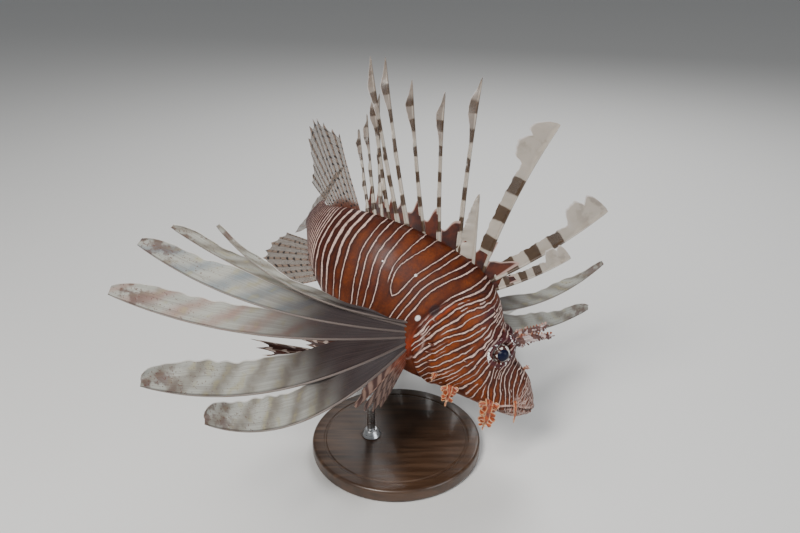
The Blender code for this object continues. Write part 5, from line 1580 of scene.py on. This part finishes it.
def make_wood_material():
    mat, tree, shader = new_material("dark satin wood", 0.38, coat=0.25)
    where = node(tree, "TexCoord").outputs["Object"]
    stretched = node(tree, "Mapping", {"Vector": where, "Scale": (9.0, 90.0, 60.0)}).outputs[0]
    grain = speckle(tree, 3.0, 6.0, stretched)
    rings = speckle(tree, 0.7, 2.0, stretched)
    colour = mixed(tree, between(tree, grain, 0.35, 0.70), (0.030, 0.015, 0.008), (0.095, 0.050, 0.026))
    colour = mixed(tree, between(tree, rings, 0.4, 0.6, 0.0, 0.5), colour, (0.060, 0.030, 0.016))
    tree.links.new(colour, shader.inputs["Base Color"])
    tree.links.new(between(tree, grain, 0.3, 0.7, 0.30, 0.46), shader.inputs["Roughness"])
    relief = node(tree, "Bump", {"Strength": 0.15, "Distance": 0.0003, "Height": grain})
    tree.links.new(relief.outputs[0], shader.inputs["Normal"])
    return mat


def make_steel_material():
    mat, tree, shader = new_material("satin steel", 0.28, Metallic=1.0)
    where = node(tree, "TexCoord").outputs["Object"]
    stretched = node(tree, "Mapping", {"Vector": where, "Scale": (40.0, 40.0, 2600.0)}).outputs[0]
    brushed = speckle(tree, 1.0, 3.0, stretched)
    tree.links.new(mixed(tree, brushed, (0.50, 0.51, 0.52), (0.62, 0.63, 0.64)), shader.inputs["Base Color"])
    tree.links.new(between(tree, brushed, 0.2, 0.8, 0.22, 0.38), shader.inputs["Roughness"])
    return mat


def make_stand():
    low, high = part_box("stand_base")
    radius = (high.x - low.x) / 2
    middle = (low + high) / 2
    base = turned_piece("display_base", radius, low.z, high.z, middle, BASE_EDGE)
    deselect_all()
    base.select_set(True)
    bpy.context.view_layer.objects.active = base
    bpy.ops.object.mode_set(mode="EDIT")
    bpy.ops.mesh.select_mode(type="FACE")
    bpy.ops.mesh.select_all(action="DESELECT")
    bpy.ops.object.mode_set(mode="OBJECT")
    top = [p.index for p in base.data.polygons if p.normal.z > 0.99 and p.area > radius * radius]
    base.data.polygons[top[0]].select = True
    bpy.ops.object.mode_set(mode="EDIT")
    for thick, depth in ((0.006, 0.0), (0.0008, -0.0005), (0.0008, 0.0), (0.0008, 0.0005)):
        bpy.ops.mesh.inset(thickness=thick, depth=depth)
    bpy.ops.object.mode_set(mode="OBJECT")
    finish_piece(base, make_wood_material(), "stand_base", "stand_base", smooth_degrees=30)
    rod_low, rod_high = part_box("stand_rod")
    foot = (rod_low + rod_high) / 2
    collar_radius = (rod_high.x - rod_low.x) / 2
    rod = turned_piece("rod", 0.003, rod_low.z, rod_high.z + 0.001, foot, 0.0002, 2)
    deselect_all()
    collar_low = high.z + 0.0003
    bpy.ops.mesh.primitive_cone_add(
        vertices=96, radius1=collar_radius, radius2=collar_radius * 0.6, depth=0.005,
        location=(foot.x, foot.y, collar_low + 0.0025),
    )
    collar = bpy.context.object
    bpy.ops.object.transform_apply(location=True, rotation=True, scale=True)
    apply_modifier(collar, "BEVEL", width=0.0005, segments=4, limit_method="ANGLE", angle_limit=math.radians(30))
    finish_piece(join([rod, collar], "display_rod"), make_steel_material(), "stand_rod", "stand_rod", smooth_degrees=40)


make_stand()

# %% [markdown]
# A plain pale floor and three large, soft lights, as in a studio: the key from the upper left in front, a
# weaker fill from the right, and one from behind and above that shines through the webs.

# %% Floor and lights
def make_floor():
    deselect_all()
    bpy.ops.mesh.primitive_plane_add(size=14, location=(0, 4, 0))
    floor = bpy.context.object
    floor.name = "floor"
    mat, _, shader = new_material("pale floor", 0.6)
    shader.inputs["Base Color"].default_value = (0.72, 0.72, 0.71, 1)
    floor.data.materials.append(mat)


def add_light(name, location, power, size, colour=(1, 1, 1)):
    deselect_all()
    bpy.ops.object.light_add(type="AREA", location=location)
    light = bpy.context.object
    light.name = name
    light.data.energy = power
    light.data.size = size
    light.data.color = colour
    light.rotation_euler = (FISH_MIDDLE - Vector(location)).to_track_quat("-Z", "Y").to_euler()


make_floor()
add_light("key", (-0.45, -0.70, 1.00), 17.0, 0.40, (1.0, 0.97, 0.93))
add_light("fill", (0.85, -0.60, 0.45), 4.0, 0.6, (0.92, 0.96, 1.0))
add_light("back", (0.25, 0.85, 0.95), 9.0, 0.6)
world = bpy.data.worlds.new("studio")
bpy.context.scene.world = world
world.use_nodes = True
world.node_tree.nodes["Background"].inputs["Color"].default_value = (0.80, 0.82, 0.84, 1)
world.node_tree.nodes["Background"].inputs["Strength"].default_value = 0.26
